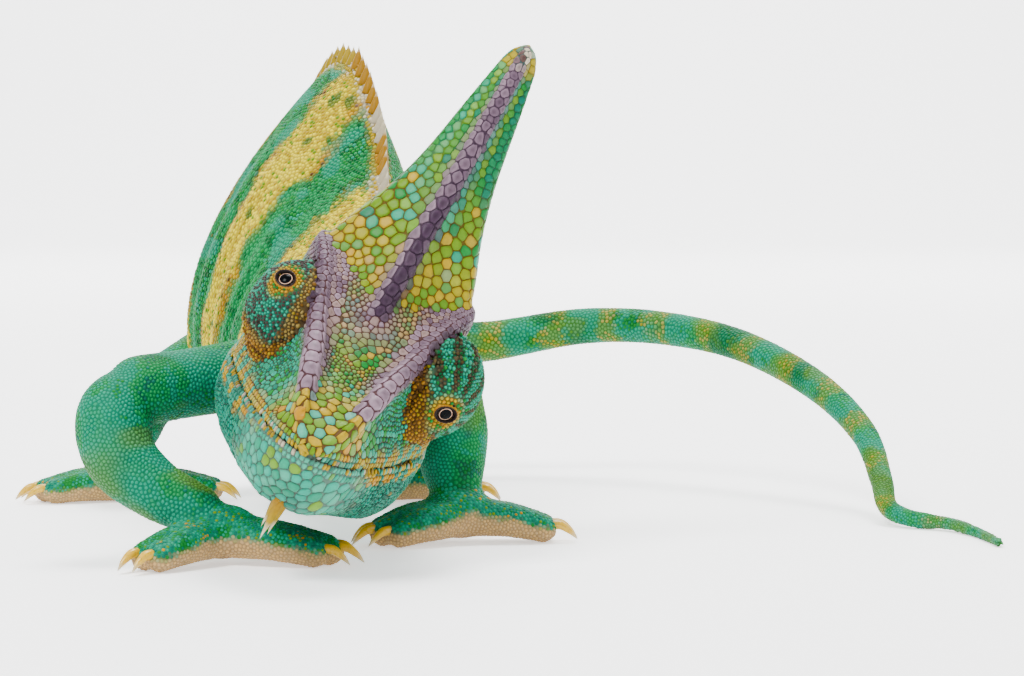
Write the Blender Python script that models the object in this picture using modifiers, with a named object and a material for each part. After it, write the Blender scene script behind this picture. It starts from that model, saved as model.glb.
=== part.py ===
"""Adult male veiled chameleon at life size, standing on the floor with its head tilted.

Everything is worked out in millimetres in a standing frame: +X to the animal's left, -Y the way
it faces, +Z up, with the floor at zero. Positions become metres about the middle of its
footprint when a mesh is made. The head is shaped in a frame of its own, (left, forward, up)
about the midpoint between the eyes, and then turned into its tilt.
"""

import math

import bmesh
import bpy
import numpy as np
from mathutils import Matrix, Vector

MM = 0.001
GAP = 0.3  # clearance between two neighbouring solids
FOOTPRINT_MIDDLE = np.array([-6.62, 67.67, 0.0])

# Head: where it is held, and how it is turned
EYE_MIDPOINT = np.array([-23.3, -3.3, 35.3])
HEAD_PITCH = math.radians(17.2)  # nose down
HEAD_ROLL = math.radians(29.3)  # crown towards the animal's left
HEAD_YAW = math.radians(3.0)  # nose towards the animal's left

# Stations of the skull, from the back of the head to the snout, along "forward"
SKULL_AT = [-32, -24, -16, -8, 0, 7, 14, 20, 24]
ROOF_HEIGHT = [2.0, 6.5, 9.2, 7.8, 3.0, -0.4, -3.1, -5.3, -8.1]
CREST_HALF_WIDTH = [9.0, 11.8, 13.8, 11.5, 9.1, 7.1, 5.6, 4.1, 2.2]
CREST_HEIGHT = [0.5, 4.8, 7.9, 6.7, 2.8, 0.2, -2.4, -4.9, -8.0]
LIP_HALF_WIDTH = [12.0, 15.2, 17.0, 17.0, 14.4, 11.8, 8.4, 5.2, 2.0]
LIP_HEIGHT = [-17.0, -16.4, -15.6, -14.7, -13.9, -13.1, -12.1, -10.9, -9.9]
SNOUT_TIP = 25.0

# Stations of the lower jaw and throat
JAW_AT = [-32, -24, -16, -8, 0, 7, 14, 19.5, 22.6]
JAW_HALF_WIDTH = [12.5, 16.0, 17.8, 17.6, 15.4, 12.6, 9.2, 5.8, 2.8]
JAW_BOTTOM = [-26.0, -29.2, -30.0, -29.6, -27.4, -25.2, -23.2, -20.8, -16.2]
JAW_TIP = 24.0
THROAT_SQUARENESS = 3.2
THROAT_SAG = 0.15  # the loose throat hangs to the side that is lower

# Stations of the casque, by height
CASQUE_AT = [5, 8, 12, 16, 20, 26, 33, 40, 44, 45.8]
CASQUE_FRONT = [-4.5, -6.6, -9.4, -12.1, -14.8, -18.8, -23.4, -27.9, -30.6, -31.8]
CASQUE_HALF_WIDTH = [12.8, 12.6, 11.2, 9.4, 7.9, 6.3, 5.0, 3.7, 2.8, 2.0]
CASQUE_SIDE = [-13.5, -14.4, -16.4, -18.3, -20.2, -23.0, -26.4, -29.8, -31.9, -32.6]
CASQUE_REAR = [-33.5, -34.0, -34.6, -35.2, -35.7, -36.2, -36.5, -36.3, -35.6, -34.6]
CASQUE_LEAN = [0.0, 0.1, 0.3, 0.5, 0.7, 0.9, 1.1, 1.3, 1.4, 1.4]
CASQUE_TOP = 46.6
RIDGE_RISE = 1.5  # how far the middle ridge stands out of the casque's front
RIDGE_HALF_WIDTH = 1.7

# Eyes
TURRET_CENTRE = {"left": (13.7, -6.5, -2.1), "right": (-12.1, -6.5, -2.7)}
TURRET_RADIUS = 8.1
TURRET_SHAPE = (0.87, 1.0, 1.05)  # how far it bulges sideways, forward and up, as shares of its radius
LID_FOLD_CENTRE = {"left": (12.3, -2.4, -6.8), "right": (-11.8, -2.4, -6.4)}
LID_FOLD_RADIUS = 4.8
PUPIL_RADIUS = 2.0
GAZE = {"left": (0.38, 0.92, -0.07), "right": (-0.43, 0.56, 0.71)}

# Body: (x of the back, y, height of the back, height of the belly, half width, lean in degrees,
# sharpness of the back)
NECK_AND_TRUNK = [
    (-12.5, 12.0, 51.0, 22.0, 13.0, 27, 0.2),
    (-16.5, 26.0, 51.0, 17.0, 15.5, 21, 0.4),
    (-21.3, 43.0, 58.5, 13.0, 18.0, 15, 0.8),
    (-23.2, 60.0, 71.5, 11.5, 19.5, 12, 1.0),
    (-28.3, 77.0, 83.5, 11.5, 20.0, 10, 1.0),
    (-35.0, 93.0, 82.5, 13.5, 19.8, 8.5, 1.0),
    (-41.5, 108.0, 68.5, 17.0, 16.5, 6, 0.8),
    (-45.3, 121.0, 53.0, 20.5, 12.5, 3, 0.4),
    (-44.0, 134.0, 43.5, 24.0, 8.2, 0, 0.1),
]
NECK_END = 1.45  # station number where the neck becomes the trunk
STATION_LENGTH = 15.0  # the usual distance between two stations
TRUNK_RINGS = 14
TRUNK_RING_POINTS = 20

# Tail: (x, y, height of its middle, radius), from the rump to the tip
TAIL = [
    (-44.0, 134.5, 33.8, 8.0),
    (-37.0, 147.0, 30.5, 6.6),
    (-24.0, 154.0, 28.6, 5.3),
    (-6.7, 155.5, 28.2, 4.4),
    (14.2, 153.0, 31.6, 3.85),
    (30.4, 142.0, 31.8, 3.55),
    (45.4, 125.0, 29.1, 3.25),
    (58.1, 105.0, 22.6, 3.0),
    (65.4, 88.0, 14.8, 2.6),
    (67.1, 74.0, 7.2, 2.2),
    (67.2, 65.5, 3.2, 1.9),
    (70.5, 60.0, 1.6, 1.7),
    (76.4, 55.5, 1.1, 1.25),
    (79.9, 46.5, 0.8, 0.95),
    (81.5, 31.5, 0.4, 0.5),
]
TAIL_LENGTHS = 5
TAIL_POINTS_EACH = 7

# Limbs: points (x, y, z, radius) from the body to the joint, and from the joint to the wrist
LIMBS = {
    "right_arm": {
        "upper": [(-30, 44, 30.5, 7.0), (-40, 36, 29.5, 6.4), (-52, 28, 28.0, 5.9), (-60.5, 21.5, 27.0, 6.0)],
        "lower": [
            (-61.6, 20.4, 28.2, 5.6), (-64.3, 18.0, 23.0, 6.4), (-63.0, 16.0, 16.6, 6.1),
            (-57.2, 14.0, 11.6, 5.1), (-50.6, 12.8, 8.4, 4.4),
        ],
        "palm": (-46.5, 12.5, 5.0),
        "outer": (-56.6, 0.4, 2.35),
        "inner": (-29.0, 8.5, 2.35),
        "outer_toes": 2,
    },
    "left_arm": {
        "upper": [(-19, 46, 29.0, 7.0), (-14.5, 48.5, 25.5, 6.4), (-10.8, 49.5, 21.5, 6.1)],
        "lower": [(-10.2, 49.4, 22.6, 5.6), (-10.2, 47.8, 18.5, 6.3), (-10.2, 45, 13.6, 6), (-9.6, 42.4, 8.6, 4.7)],
        "palm": (-9.0, 40.5, 5.0),
        "outer": (6.0, 40.6, 2.35),
        "inner": (-21.6, 33.4, 2.35),
        "outer_toes": 2,
    },
    "right_leg": {
        "upper": [(-47, 118, 32, 8.0), (-56, 111, 27.8, 7.5), (-64, 104, 23.6, 6.6), (-69.0, 99, 20.6, 6.0)],
        "lower": [(-69.8, 97.6, 21.4, 5.4), (-71.6, 100, 16.6, 5.8), (-73.6, 104, 12, 5), (-74.2, 107, 8.4, 4.3)],
        "palm": (-74.0, 107.5, 4.1),
        "outer": (-89.6, 103.5, 2.35),
        "inner": (-57.5, 105.0, 2.35),
        "outer_toes": 3,
    },
    "left_leg": {
        "upper": [(-42, 119, 32, 8.0), (-33, 113, 28, 7.4), (-25.5, 105, 24, 6.7), (-21.5, 99.5, 20.8, 6.1)],
        "lower": [(-21, 98, 21.6, 5.4), (-20.2, 101, 17, 5.8), (-20.4, 105.5, 12, 5), (-21.2, 109, 8.4, 4.3)],
        "palm": (-22.2, 109.5, 4.1),
        "outer": (-7.5, 103.0, 2.35),
        "inner": (-37.0, 102.5, 2.35),
        "outer_toes": 3,
    },
}
TOES_PER_FOOT = 5
TOE_SPREAD = 3.3  # side by side spacing at the toe tips
PALM_RADII = (6.4, 5.6, 4.6)
TOE_ROOT_RADIUS = 3.6
TOE_TIP_RADIUS = 2.5
CLAW_LENGTH = 4.4
CLAW_RADIUS = 1.0
CLAW_REACH = (0.30, 0.62, 0.86)  # how far along its length each bend of a claw is
CLAW_ARCH = (0.1, -0.9)  # how the first two bends stand above the claw's root
CLAW_TIP_HEIGHT = 0.35
KNUCKLE_AT = 0.55  # how far along a toe its knuckle is

# Crests
BACK_SPINE_HEIGHT = 2.6
BACK_SPINE_RADIUS = 1.5
BACK_SPINE_ROOT = 2.0  # how deep each spine is rooted
BACK_SPINE_SPACING = 4.4
THROAT_SPINES = 11
THROAT_SPINE_LENGTH = 6.2
THROAT_SPINE_RADIUS = (1.4, 1.0)  # at the chin and at the last one
THROAT_SPINE_ROOT = 1.6
THROAT_SPINE_FIRST = 19.0
THROAT_SPINE_RUN = 38.0
THROAT_SPINE_SHRINK = 0.55  # share of its length that the last one lacks

COLOURS = {
    "body_skin": ((0.02, 0.42, 0.24, 1.0), 0.55),
    "casque_skin": ((0.20, 0.48, 0.14, 1.0), 0.50),
    "eye_skin": ((0.05, 0.30, 0.26, 1.0), 0.60),
    "eyeball": ((0.01, 0.01, 0.012, 1.0), 0.05),
    "claw": ((0.75, 0.55, 0.16, 1.0), 0.30),
}


def material(slot):
    """A Principled material for one kind of surface, made once."""
    found = bpy.data.materials.get(slot)
    if found:
        return found
    colour, roughness = COLOURS[slot]
    made = bpy.data.materials.new(slot)
    made.use_nodes = True
    shader = made.node_tree.nodes["Principled BSDF"]
    shader.inputs["Base Color"].default_value = colour
    shader.inputs["Roughness"].default_value = roughness
    shader.inputs["Metallic"].default_value = 0.0
    return made


def through(knots, values, at):
    """A smooth cubic through the values at the knots, read at each place in `at`."""
    knots, values, at = (np.asarray(v, float) for v in (knots, values, at))
    slope = np.gradient(values, knots, axis=0)
    left = np.clip(np.searchsorted(knots, at) - 1, 0, len(knots) - 2)
    width = knots[left + 1] - knots[left]
    t = (at - knots[left]) / width
    if values.ndim > 1:
        t, width = t[:, None], width[:, None]
    return (
        values[left] * (1 + 2 * t) * (1 - t) ** 2
        + slope[left] * width * t * (1 - t) ** 2
        + values[left + 1] * t**2 * (3 - 2 * t)
        + slope[left + 1] * width * t**2 * (t - 1)
    )


def head_axes():
    """The head's left, forward and up directions in the standing frame."""
    pitch, roll, yaw = HEAD_PITCH, HEAD_ROLL, HEAD_YAW
    level = np.array([[1.0, 0.0, 0.0], [0.0, -1.0, 0.0], [0.0, 0.0, 1.0]])  # rows: left, forward, up
    turn = Matrix.Rotation(roll, 3, "Y") @ Matrix.Rotation(pitch, 3, "X") @ Matrix.Rotation(yaw, 3, "Z")
    return level @ np.array(turn).T


HEAD_AXES = head_axes()


def from_head(points):
    """Points given as (left, forward, up) about the eye midpoint, in the standing frame."""
    return EYE_MIDPOINT + np.asarray(points, float) @ HEAD_AXES


def to_model(points):
    """Standing-frame millimetres to metres about the middle of the footprint."""
    return (np.asarray(points, float) - FOOTPRINT_MIDDLE) * MM


def show(obj, slot):
    """Links an object to the model, gives it its material and shades it smooth."""
    MODEL.objects.link(obj)
    obj.data.materials.clear()
    obj.data.materials.append(material(slot))
    obj.data.shade_smooth()
    return obj


def loft(name, rings, slot, tips=(None, None)):
    """A closed skin over rings of equal length, with a point or a flat cap at each end."""
    bm = bmesh.new()
    rows = [[bm.verts.new(p) for p in to_model(ring)] for ring in rings]
    for row, after in zip(rows, rows[1:]):
        for i in range(len(row)):
            bm.faces.new((row[i - 1], row[i], after[i], after[i - 1]))
    for row, tip in ((rows[0], tips[0]), (rows[-1], tips[1])):
        if tip is None:
            bm.faces.new(row)
        else:
            point = bm.verts.new(to_model(tip))
            for i in range(len(row)):
                bm.faces.new((row[i - 1], row[i], point))
    bmesh.ops.recalc_face_normals(bm, faces=bm.faces)
    mesh = bpy.data.meshes.new(name)
    bm.to_mesh(mesh)
    bm.free()
    return show(bpy.data.objects.new(name, mesh), slot)


def as_mesh(source):
    """A mesh object in place of a curve object, its caps welded to its sides."""
    graph = bpy.context.evaluated_depsgraph_get()
    mesh = bpy.data.meshes.new_from_object(source.evaluated_get(graph))
    bm = bmesh.new()
    bm.from_mesh(mesh)
    bmesh.ops.remove_doubles(bm, verts=bm.verts, dist=0.02 * MM)
    bmesh.ops.recalc_face_normals(bm, faces=bm.faces)
    bm.to_mesh(mesh)
    bm.free()
    made = bpy.data.objects.new(source.name + "_mesh", mesh)
    made.matrix_world = source.matrix_world
    name, data = source.name, source.data
    bpy.data.objects.remove(source)
    bpy.data.curves.remove(data)
    made.name = name
    return made


def rounded(points, radii, start=True, end=True, steps=(42, 78)):
    """Adds points of falling radius past each end, so that a tube ends in a dome."""
    points, radii = np.asarray(points, float), np.asarray(radii, float)
    for wanted, at, inner in ((start, 0, 1), (end, -1, -2)):
        if not wanted:
            continue
        out = points[at] - points[inner]
        out /= np.linalg.norm(out)
        angles = np.radians(steps)
        more = points[at] + out * radii[at] * np.sin(angles)[:, None]
        less = radii[at] * np.cos(angles)
        if at == 0:
            points, radii = np.vstack([more[::-1], points]), np.concatenate([less[::-1], radii])
        else:
            points, radii = np.vstack([points, more]), np.concatenate([radii, less])
    return points, radii


def tube(name, points, radii, slot, resolution=3):
    """A round tube of changing radius along the points, as a bevelled curve made a mesh."""
    curve = bpy.data.curves.new(name, "CURVE")
    curve.dimensions = "3D"
    curve.bevel_depth = MM
    curve.bevel_resolution = resolution
    curve.use_fill_caps = True
    spline = curve.splines.new("POLY")
    spline.points.add(len(points) - 1)
    for at, p, radius in zip(spline.points, to_model(points), radii):
        at.co = (*p, 1.0)
        at.radius = radius
    obj = bpy.data.objects.new(name, curve)
    bpy.context.scene.collection.objects.link(obj)
    return show(as_mesh(obj), slot)


def limb_tube(name, rows, slot, samples=7, resolution=3, dome=(42, 78)):
    """A tube with domed ends along a smooth curve through rows of (x, y, z, radius)."""
    rows = np.asarray(rows, float)
    smooth = through(np.arange(len(rows)), rows, np.linspace(0, len(rows) - 1, samples))
    return tube(name, *rounded(smooth[:, :3], smooth[:, 3], steps=dome), slot, resolution)


def swollen(obj, by=GAP):
    """A copy of the object, larger by that many millimetres all round, to cut with."""
    mesh = obj.data.copy()
    bm = bmesh.new()
    bm.from_mesh(mesh)
    bmesh.ops.recalc_face_normals(bm, faces=bm.faces)
    bm.normal_update()
    normals = [v.normal * v.calc_shell_factor() for v in bm.verts]
    for vert, normal in zip(bm.verts, normals):
        vert.co += normal * min(1.0, 1.6 / max(normal.length, 1e-6)) * by * MM
    bm.to_mesh(mesh)
    bm.free()
    copy = bpy.data.objects.new(obj.name + "_cutter", mesh)
    copy.matrix_world = obj.matrix_world
    CUTTERS.objects.link(copy)
    copy.hide_render = True
    copy.display_type = "WIRE"
    return copy


def combine(obj, others, operation):
    """Applies an exact Boolean of the object with each of the others."""
    for other in others:
        step = obj.modifiers.new(operation, "BOOLEAN")
        step.operation = operation
        step.solver = "EXACT"
        step.object = other
        graph = bpy.context.evaluated_depsgraph_get()
        mesh = bpy.data.meshes.new_from_object(obj.evaluated_get(graph))
        obj.modifiers.clear()
        old, obj.data = obj.data, mesh
        bpy.data.meshes.remove(old)
    keep_largest(obj)
    return obj


def keep_largest(obj):
    """Drops every loose scrap but the biggest body of the mesh."""
    bm = bmesh.new()
    bm.from_mesh(obj.data)
    left, bodies = set(bm.verts), []
    while left:
        body, edge = set(), [left.pop()]
        while edge:
            vert = edge.pop()
            body.add(vert)
            for link in vert.link_edges:
                other = link.other_vert(vert)
                if other in left:
                    left.remove(other)
                    edge.append(other)
        bodies.append(body)
    biggest = max(bodies, key=len)
    scraps = [vert for body in bodies if body is not biggest for vert in body]
    bmesh.ops.delete(bm, geom=scraps, context="VERTS")
    bm.to_mesh(obj.data)
    bm.free()
    obj.data.shade_smooth()


def cut_by(obj, *neighbours, by=GAP):
    """Takes each neighbour, with its clearance, out of the object."""
    return combine(obj, [swollen(n, by) for n in neighbours], "DIFFERENCE")


def united(name, objects):
    """The Boolean union of several objects, as the first of them."""
    first, *others = objects
    combine(first, others, "UNION")
    for other in others:
        bpy.data.objects.remove(other)
    first.name = name
    return first


def mirrored_ring(half):
    """A closed ring from a half outline that starts and ends on the middle plane (left = 0)."""
    half = np.asarray(half, float)
    other = half[1:-1][::-1] * np.array([-1.0, 1.0, 1.0])
    return np.vstack([half, other])


def skull_ring(at, points=11):
    """The outline of the upper head at one station: roof, crest, orbit, lip and palate."""
    roof, crest, crest_z, lip, lip_z = (
        float(through(SKULL_AT, values, [at])[0])
        for values in (ROOF_HEIGHT, CREST_HALF_WIDTH, CREST_HEIGHT, LIP_HALF_WIDTH, LIP_HEIGHT)
    )
    floor = lip_z + GAP / 2
    corners = np.array([
        (0.0, roof),
        (0.62 * crest, 0.5 * (roof + crest_z) - 0.4),
        (crest - 0.8, crest_z + 0.7),
        (crest + 0.5, crest_z - 0.5),
        (0.55 * crest + 0.45 * lip - 0.4, 0.55 * crest_z + 0.45 * floor),
        (lip - 0.1, 0.18 * crest_z + 0.82 * floor),
        (lip, floor),
    ])
    outline = through(np.arange(len(corners)), corners, np.linspace(0, len(corners) - 1, points))
    outline = np.vstack([outline, (0.0, floor)])
    return from_head(mirrored_ring([(x, at, z) for x, z in outline]))


def make_skull():
    """The upper head, without casque or lower jaw."""
    places = np.concatenate([np.linspace(-32, 16, 13), [19, 21.8, 23.8]])
    tip = from_head((0.0, SNOUT_TIP, LIP_HEIGHT[-1] + 1.7))
    return loft("head", [skull_ring(at) for at in places], "casque_skin", (None, tip))


def jaw_ring(at, points=8):
    """The outline of the lower jaw at one station, a full round belly under the mouth line."""
    half_width = float(through(JAW_AT, JAW_HALF_WIDTH, [at])[0])
    bottom = float(through(JAW_AT, JAW_BOTTOM, [at])[0])
    top = float(through(SKULL_AT, LIP_HEIGHT, [at])[0]) - GAP / 2
    angle = np.linspace(0, math.pi / 2, points)
    fullness = 2 / THROAT_SQUARENESS
    x = half_width * np.cos(angle) ** fullness
    depth = np.sin(angle) ** fullness
    half = np.column_stack([x, np.full(points, at), top + (bottom - top) * depth])
    half[-1, 0] = 0.0
    ring = mirrored_ring(np.vstack([[(0.0, at, top)], half]))
    sagging = np.clip((top - ring[:, 2]) / (top - bottom), 0, 1) * np.clip((12.0 - at) / 20.0, 0, 1)
    ring[:, 2] -= THROAT_SAG * ring[:, 0] * sagging
    return from_head(ring)


def cone(start, end, radius, sides=5):
    """A straight spine from its root to its point."""
    start, end = (Vector(p) for p in to_model([start, end]))
    bm = bmesh.new()
    bmesh.ops.create_cone(
        bm, cap_ends=True, segments=sides, radius1=radius * MM, radius2=0.18 * radius * MM,
        depth=(end - start).length,
    )
    mesh = bpy.data.meshes.new("spine")
    bm.to_mesh(mesh)
    bm.free()
    obj = bpy.data.objects.new("spine", mesh)
    MODEL.objects.link(obj)
    turn = (end - start).to_track_quat("Z", "Y").to_matrix().to_4x4()
    obj.matrix_world = Matrix.Translation((start + end) / 2) @ turn
    bpy.context.view_layer.update()
    return obj


def joined(objects):
    """One object holding the meshes of several, in place."""
    bm = bmesh.new()
    for obj in objects:
        copy = obj.data.copy()
        copy.transform(obj.matrix_world)
        bm.from_mesh(copy)
        bpy.data.meshes.remove(copy)
        bpy.data.objects.remove(obj)
    mesh = bpy.data.meshes.new("spines")
    bm.to_mesh(mesh)
    bm.free()
    made = bpy.data.objects.new("spines", mesh)
    CUTTERS.objects.link(made)
    made.hide_render = True
    made.display_type = "WIRE"
    return made


def make_lower_jaw():
    """The lower jaw and throat, with the row of long spines under the chin."""
    places = np.concatenate([np.linspace(-31.6, 16, 11), [18.8, 21, 22.5]])
    tip = from_head((0.0, JAW_TIP, -11.2))
    jaw = loft("lower_jaw", [jaw_ring(at) for at in places], "body_skin", (None, tip))
    spines = []
    for i in range(THROAT_SPINES):
        share = i / (THROAT_SPINES - 1)
        at = THROAT_SPINE_FIRST - THROAT_SPINE_RUN * share
        bottom = float(through(JAW_AT, JAW_BOTTOM, [at])[0])
        long = THROAT_SPINE_LENGTH * (1 - THROAT_SPINE_SHRINK * share)
        root = from_head((0.0, at, bottom + THROAT_SPINE_ROOT))
        radius = np.interp(share, (0, 1), THROAT_SPINE_RADIUS)
        spines.append(cone(root, from_head((0.0, at - 0.8, bottom - long)), radius))
    combine(jaw, [joined(spines)], "UNION")
    return jaw


def casque_ring(height):
    """The outline of the casque at one height: middle ridge, front face, side crest and rear."""
    front, wide, side, rear, lean = (
        float(through(CASQUE_AT, values, [height])[0])
        for values in (CASQUE_FRONT, CASQUE_HALF_WIDTH, CASQUE_SIDE, CASQUE_REAR, CASQUE_LEAN)
    )
    ridge = min(RIDGE_HALF_WIDTH, 0.55 * wide)
    corners = np.array([
        (0.0, front + RIDGE_RISE),
        (0.75 * ridge, front + 0.55 * RIDGE_RISE),
        (ridge, front - 0.5),
        (0.58 * wide + 0.3, 0.45 * front + 0.55 * side - 0.3),
        (wide, side),
        (0.92 * wide, 0.62 * side + 0.38 * rear),
        (0.52 * wide, 0.22 * side + 0.78 * rear),
        (0.0, rear),
    ])
    outline = through(np.arange(len(corners)), corners, np.linspace(0, len(corners) - 1, 10))
    return from_head(mirrored_ring([(x, y, height) for x, y in outline]) + np.array([lean, 0.0, 0.0]))


def make_casque():
    """The tall helmet over the back of the head."""
    heights = np.concatenate([np.linspace(5, 41, 11), [43.6, 45.6]])
    tip = from_head((CASQUE_LEAN[-1], 0.5 * (CASQUE_FRONT[-1] + CASQUE_REAR[-1]), CASQUE_TOP))
    return loft("casque", [casque_ring(z) for z in heights], "casque_skin", (None, tip))


def turned(name, profile, centre, axis, slot, steps=12):
    """A shape turned round an axis: a profile of (radius, height) points on a Screw modifier."""
    mesh = bpy.data.meshes.new(name)
    points = [(radius * MM, 0.0, height * MM) for radius, height in profile]
    mesh.from_pydata(points, [(i, i + 1) for i in range(len(points) - 1)], [])
    obj = bpy.data.objects.new(name, mesh)
    CUTTERS.objects.link(obj)
    screw = obj.modifiers.new("turn", "SCREW")
    screw.steps = screw.render_steps = steps
    screw.use_merge_vertices = True
    screw.merge_threshold = 0.01 * MM
    turn = Vector(axis).to_track_quat("Z", "Y").to_matrix().to_4x4()
    obj.matrix_world = Matrix.Translation(Vector(to_model(centre))) @ turn
    bpy.context.view_layer.update()
    graph = bpy.context.evaluated_depsgraph_get()
    solid = bpy.data.meshes.new_from_object(obj.evaluated_get(graph))
    solid.transform(obj.matrix_world)
    bm = bmesh.new()
    bm.from_mesh(solid)
    bmesh.ops.remove_doubles(bm, verts=bm.verts, dist=0.01 * MM)
    bmesh.ops.recalc_face_normals(bm, faces=bm.faces)
    bm.to_mesh(solid)
    bm.free()
    bpy.data.objects.remove(obj)
    return show(bpy.data.objects.new(name, solid), slot)


def ball(name, centre, radii, slot):
    """A round or oval lump."""
    mesh = bpy.data.meshes.new(name)
    bm = bmesh.new()
    bmesh.ops.create_uvsphere(bm, u_segments=10, v_segments=6, radius=MM)
    bm.to_mesh(mesh)
    bm.free()
    turn = Matrix.Rotation(math.radians(17), 4, "Z")
    mesh.transform(Matrix.Translation(Vector(to_model(centre))) @ turn @ Matrix.Diagonal((*radii, 1.0)))
    return show(bpy.data.objects.new(name, mesh), slot)


def make_eye(side):
    """One eye turret, its skin drawn to a small opening, and the eyeball that fills the opening."""
    gaze = np.array(GAZE[side])
    gaze = gaze / np.linalg.norm(gaze)
    centre = np.array(TURRET_CENTRE[side])
    angle = np.radians([16, 26, 40, 58, 78, 98, 118, 138, 160, 180])
    profile = [(0.0, TURRET_RADIUS * 1.04)]
    profile += [
        (
            TURRET_RADIUS * math.sin(a),
            TURRET_RADIUS * (math.cos(a) + 0.09 * math.exp(-((a / 0.42) ** 2))),
        )
        for a in angle
    ]
    profile[-1] = (0.0, -TURRET_RADIUS)
    axis = gaze @ HEAD_AXES
    turret = turned(f"eye_turret_{side}", profile, from_head(centre), axis, "eye_skin")
    place = Matrix.Translation(Vector(to_model(from_head(centre))))
    for share, along in zip(TURRET_SHAPE, HEAD_AXES):
        turret.data.transform(place @ Matrix.Scale(share, 4, Vector(along)) @ place.inverted())
    fold = ball(f"lid_fold_{side}", from_head(LID_FOLD_CENTRE[side]), (LID_FOLD_RADIUS,) * 3, "eye_skin")
    united(f"eye_turret_{side}", [turret, fold])
    ball_centre = from_head(centre + gaze * np.array(TURRET_SHAPE) * (TURRET_RADIUS + 0.5 - PUPIL_RADIUS))
    around = np.radians(np.linspace(0, 180, 7))
    eyeball = turned(
        f"eyeball_{side}",
        [(PUPIL_RADIUS * max(math.sin(a), 0.0), PUPIL_RADIUS * math.cos(a)) for a in around],
        ball_centre, axis, "eyeball", steps=8,
    )
    cut_by(turret, eyeball)
    return turret


def body_rings(stations):
    """Outlines of the neck and trunk at the given station numbers, a leaf shape with a keeled back."""
    table = np.array(NECK_AND_TRUNK, float)
    rows = through(np.arange(len(table)), table, stations)
    fine = through(np.arange(len(table)), table[:, :3], np.asarray(stations) + 0.01)
    along = (fine - rows[:, :3]) * np.array([1.0, 1.0, 0.0])
    along /= np.linalg.norm(along, axis=1)[:, None]
    rings = []
    for row, ahead in zip(rows, along):
        top, belly, half_width, lean, sharp = row[:3], row[3], row[4], math.radians(row[5]), row[6]
        up = np.array([math.sin(lean), 0.0, math.cos(lean)])
        half_height = (top[2] - belly) / up[2] / 2
        middle = top - up * half_height
        across = np.cross(ahead, up)
        across /= np.linalg.norm(across)
        turn = np.linspace(0, 2 * math.pi, TRUNK_RING_POINTS, endpoint=False)
        height = (1 - np.cos(turn)) / 2
        oval = 2 * np.sqrt(height * (1 - height))
        leaf = 2.598 * np.sqrt(height) * (1 - height)
        width = half_width * (sharp * leaf + (1 - sharp) * oval) * np.sign(np.sin(turn))
        width[0] = width[len(turn) // 2] = 0.0
        rings.append(middle + up * ((2 * height - 1) * half_height)[:, None] + across * width[:, None])
    return rings


def back_line(station):
    """The top of the back at one station, and the direction that its spines stand in."""
    ring = body_rings([station])[0]
    top, bottom = ring[TRUNK_RING_POINTS // 2], ring[0]
    return top, (top - bottom) / np.linalg.norm(top - bottom)


def spines_between(first, last):
    """Spines along the back, evenly spaced between two station numbers."""
    samples = np.linspace(first, last, 60)
    line = np.array([back_line(s)[0] for s in samples])
    run = np.concatenate([[0.0], np.cumsum(np.linalg.norm(np.diff(line, axis=0), axis=1))])
    count = int(run[-1] // BACK_SPINE_SPACING)
    places = np.interp((np.arange(count) + 0.5) * run[-1] / count, run, samples)
    spines = []
    for station in places:
        top, up = back_line(station)
        root = top - up * BACK_SPINE_ROOT
        spines.append(cone(root, top + up * BACK_SPINE_HEIGHT, BACK_SPINE_RADIUS))
    return spines


def make_neck_and_trunk():
    """The neck and the trunk, parted by a thin cut across, each with its share of the crest."""
    last = len(NECK_AND_TRUNK) - 1
    cut = GAP / 2 / STATION_LENGTH
    neck = loft("neck", body_rings(np.linspace(0, NECK_END - cut, 5)), "body_skin")
    stations = np.linspace(NECK_END + cut, last - 0.02, TRUNK_RINGS)
    trunk = loft("trunk", body_rings(stations), "body_skin")
    combine(trunk, [joined(spines_between(NECK_END + 0.12, last - 0.15))], "UNION")
    return neck, trunk


def make_tail():
    """The tail as five lengths, each a tapering tube that starts a thin gap after the last."""
    rows = np.array(TAIL, float)
    count = TAIL_LENGTHS * TAIL_POINTS_EACH
    fine = through(np.arange(len(rows)), rows, np.linspace(0, len(rows) - 1, 400))
    run = np.concatenate([[0.0], np.cumsum(np.linalg.norm(np.diff(fine[:, :3], axis=0), axis=1))])
    lengths = []
    for i in range(TAIL_LENGTHS):
        low = run[-1] * i / TAIL_LENGTHS + (GAP / 2 if i else 0.0)
        high = run[-1] * (i + 1) / TAIL_LENGTHS - GAP / 2
        wanted = np.linspace(low, high, count // TAIL_LENGTHS)
        part = np.column_stack([np.interp(wanted, run, fine[:, k]) for k in range(4)])
        points, radii = part[:, :3], part[:, 3]
        if i == TAIL_LENGTHS - 1:
            points, radii = rounded(points, radii, start=False)
        lengths.append(tube(f"tail_{i + 1}", points, radii, "body_skin", resolution=3))
    return lengths


def toe_ends(palm, end, toes):
    """Where each toe of a bundle ends, side by side across the way the bundle points."""
    palm, end = np.array(palm, float), np.array(end, float)
    ahead = (end - palm) * np.array([1.0, 1.0, 0.0])
    ahead /= np.linalg.norm(ahead)
    across = np.array([-ahead[1], ahead[0], 0.0])
    offsets = (np.arange(toes) - (toes - 1) / 2) * TOE_SPREAD
    shorter = 1.4 * np.abs(offsets) / TOE_SPREAD
    return [end + across * o - ahead * s for o, s in zip(offsets, shorter)], ahead, across, offsets


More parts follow.
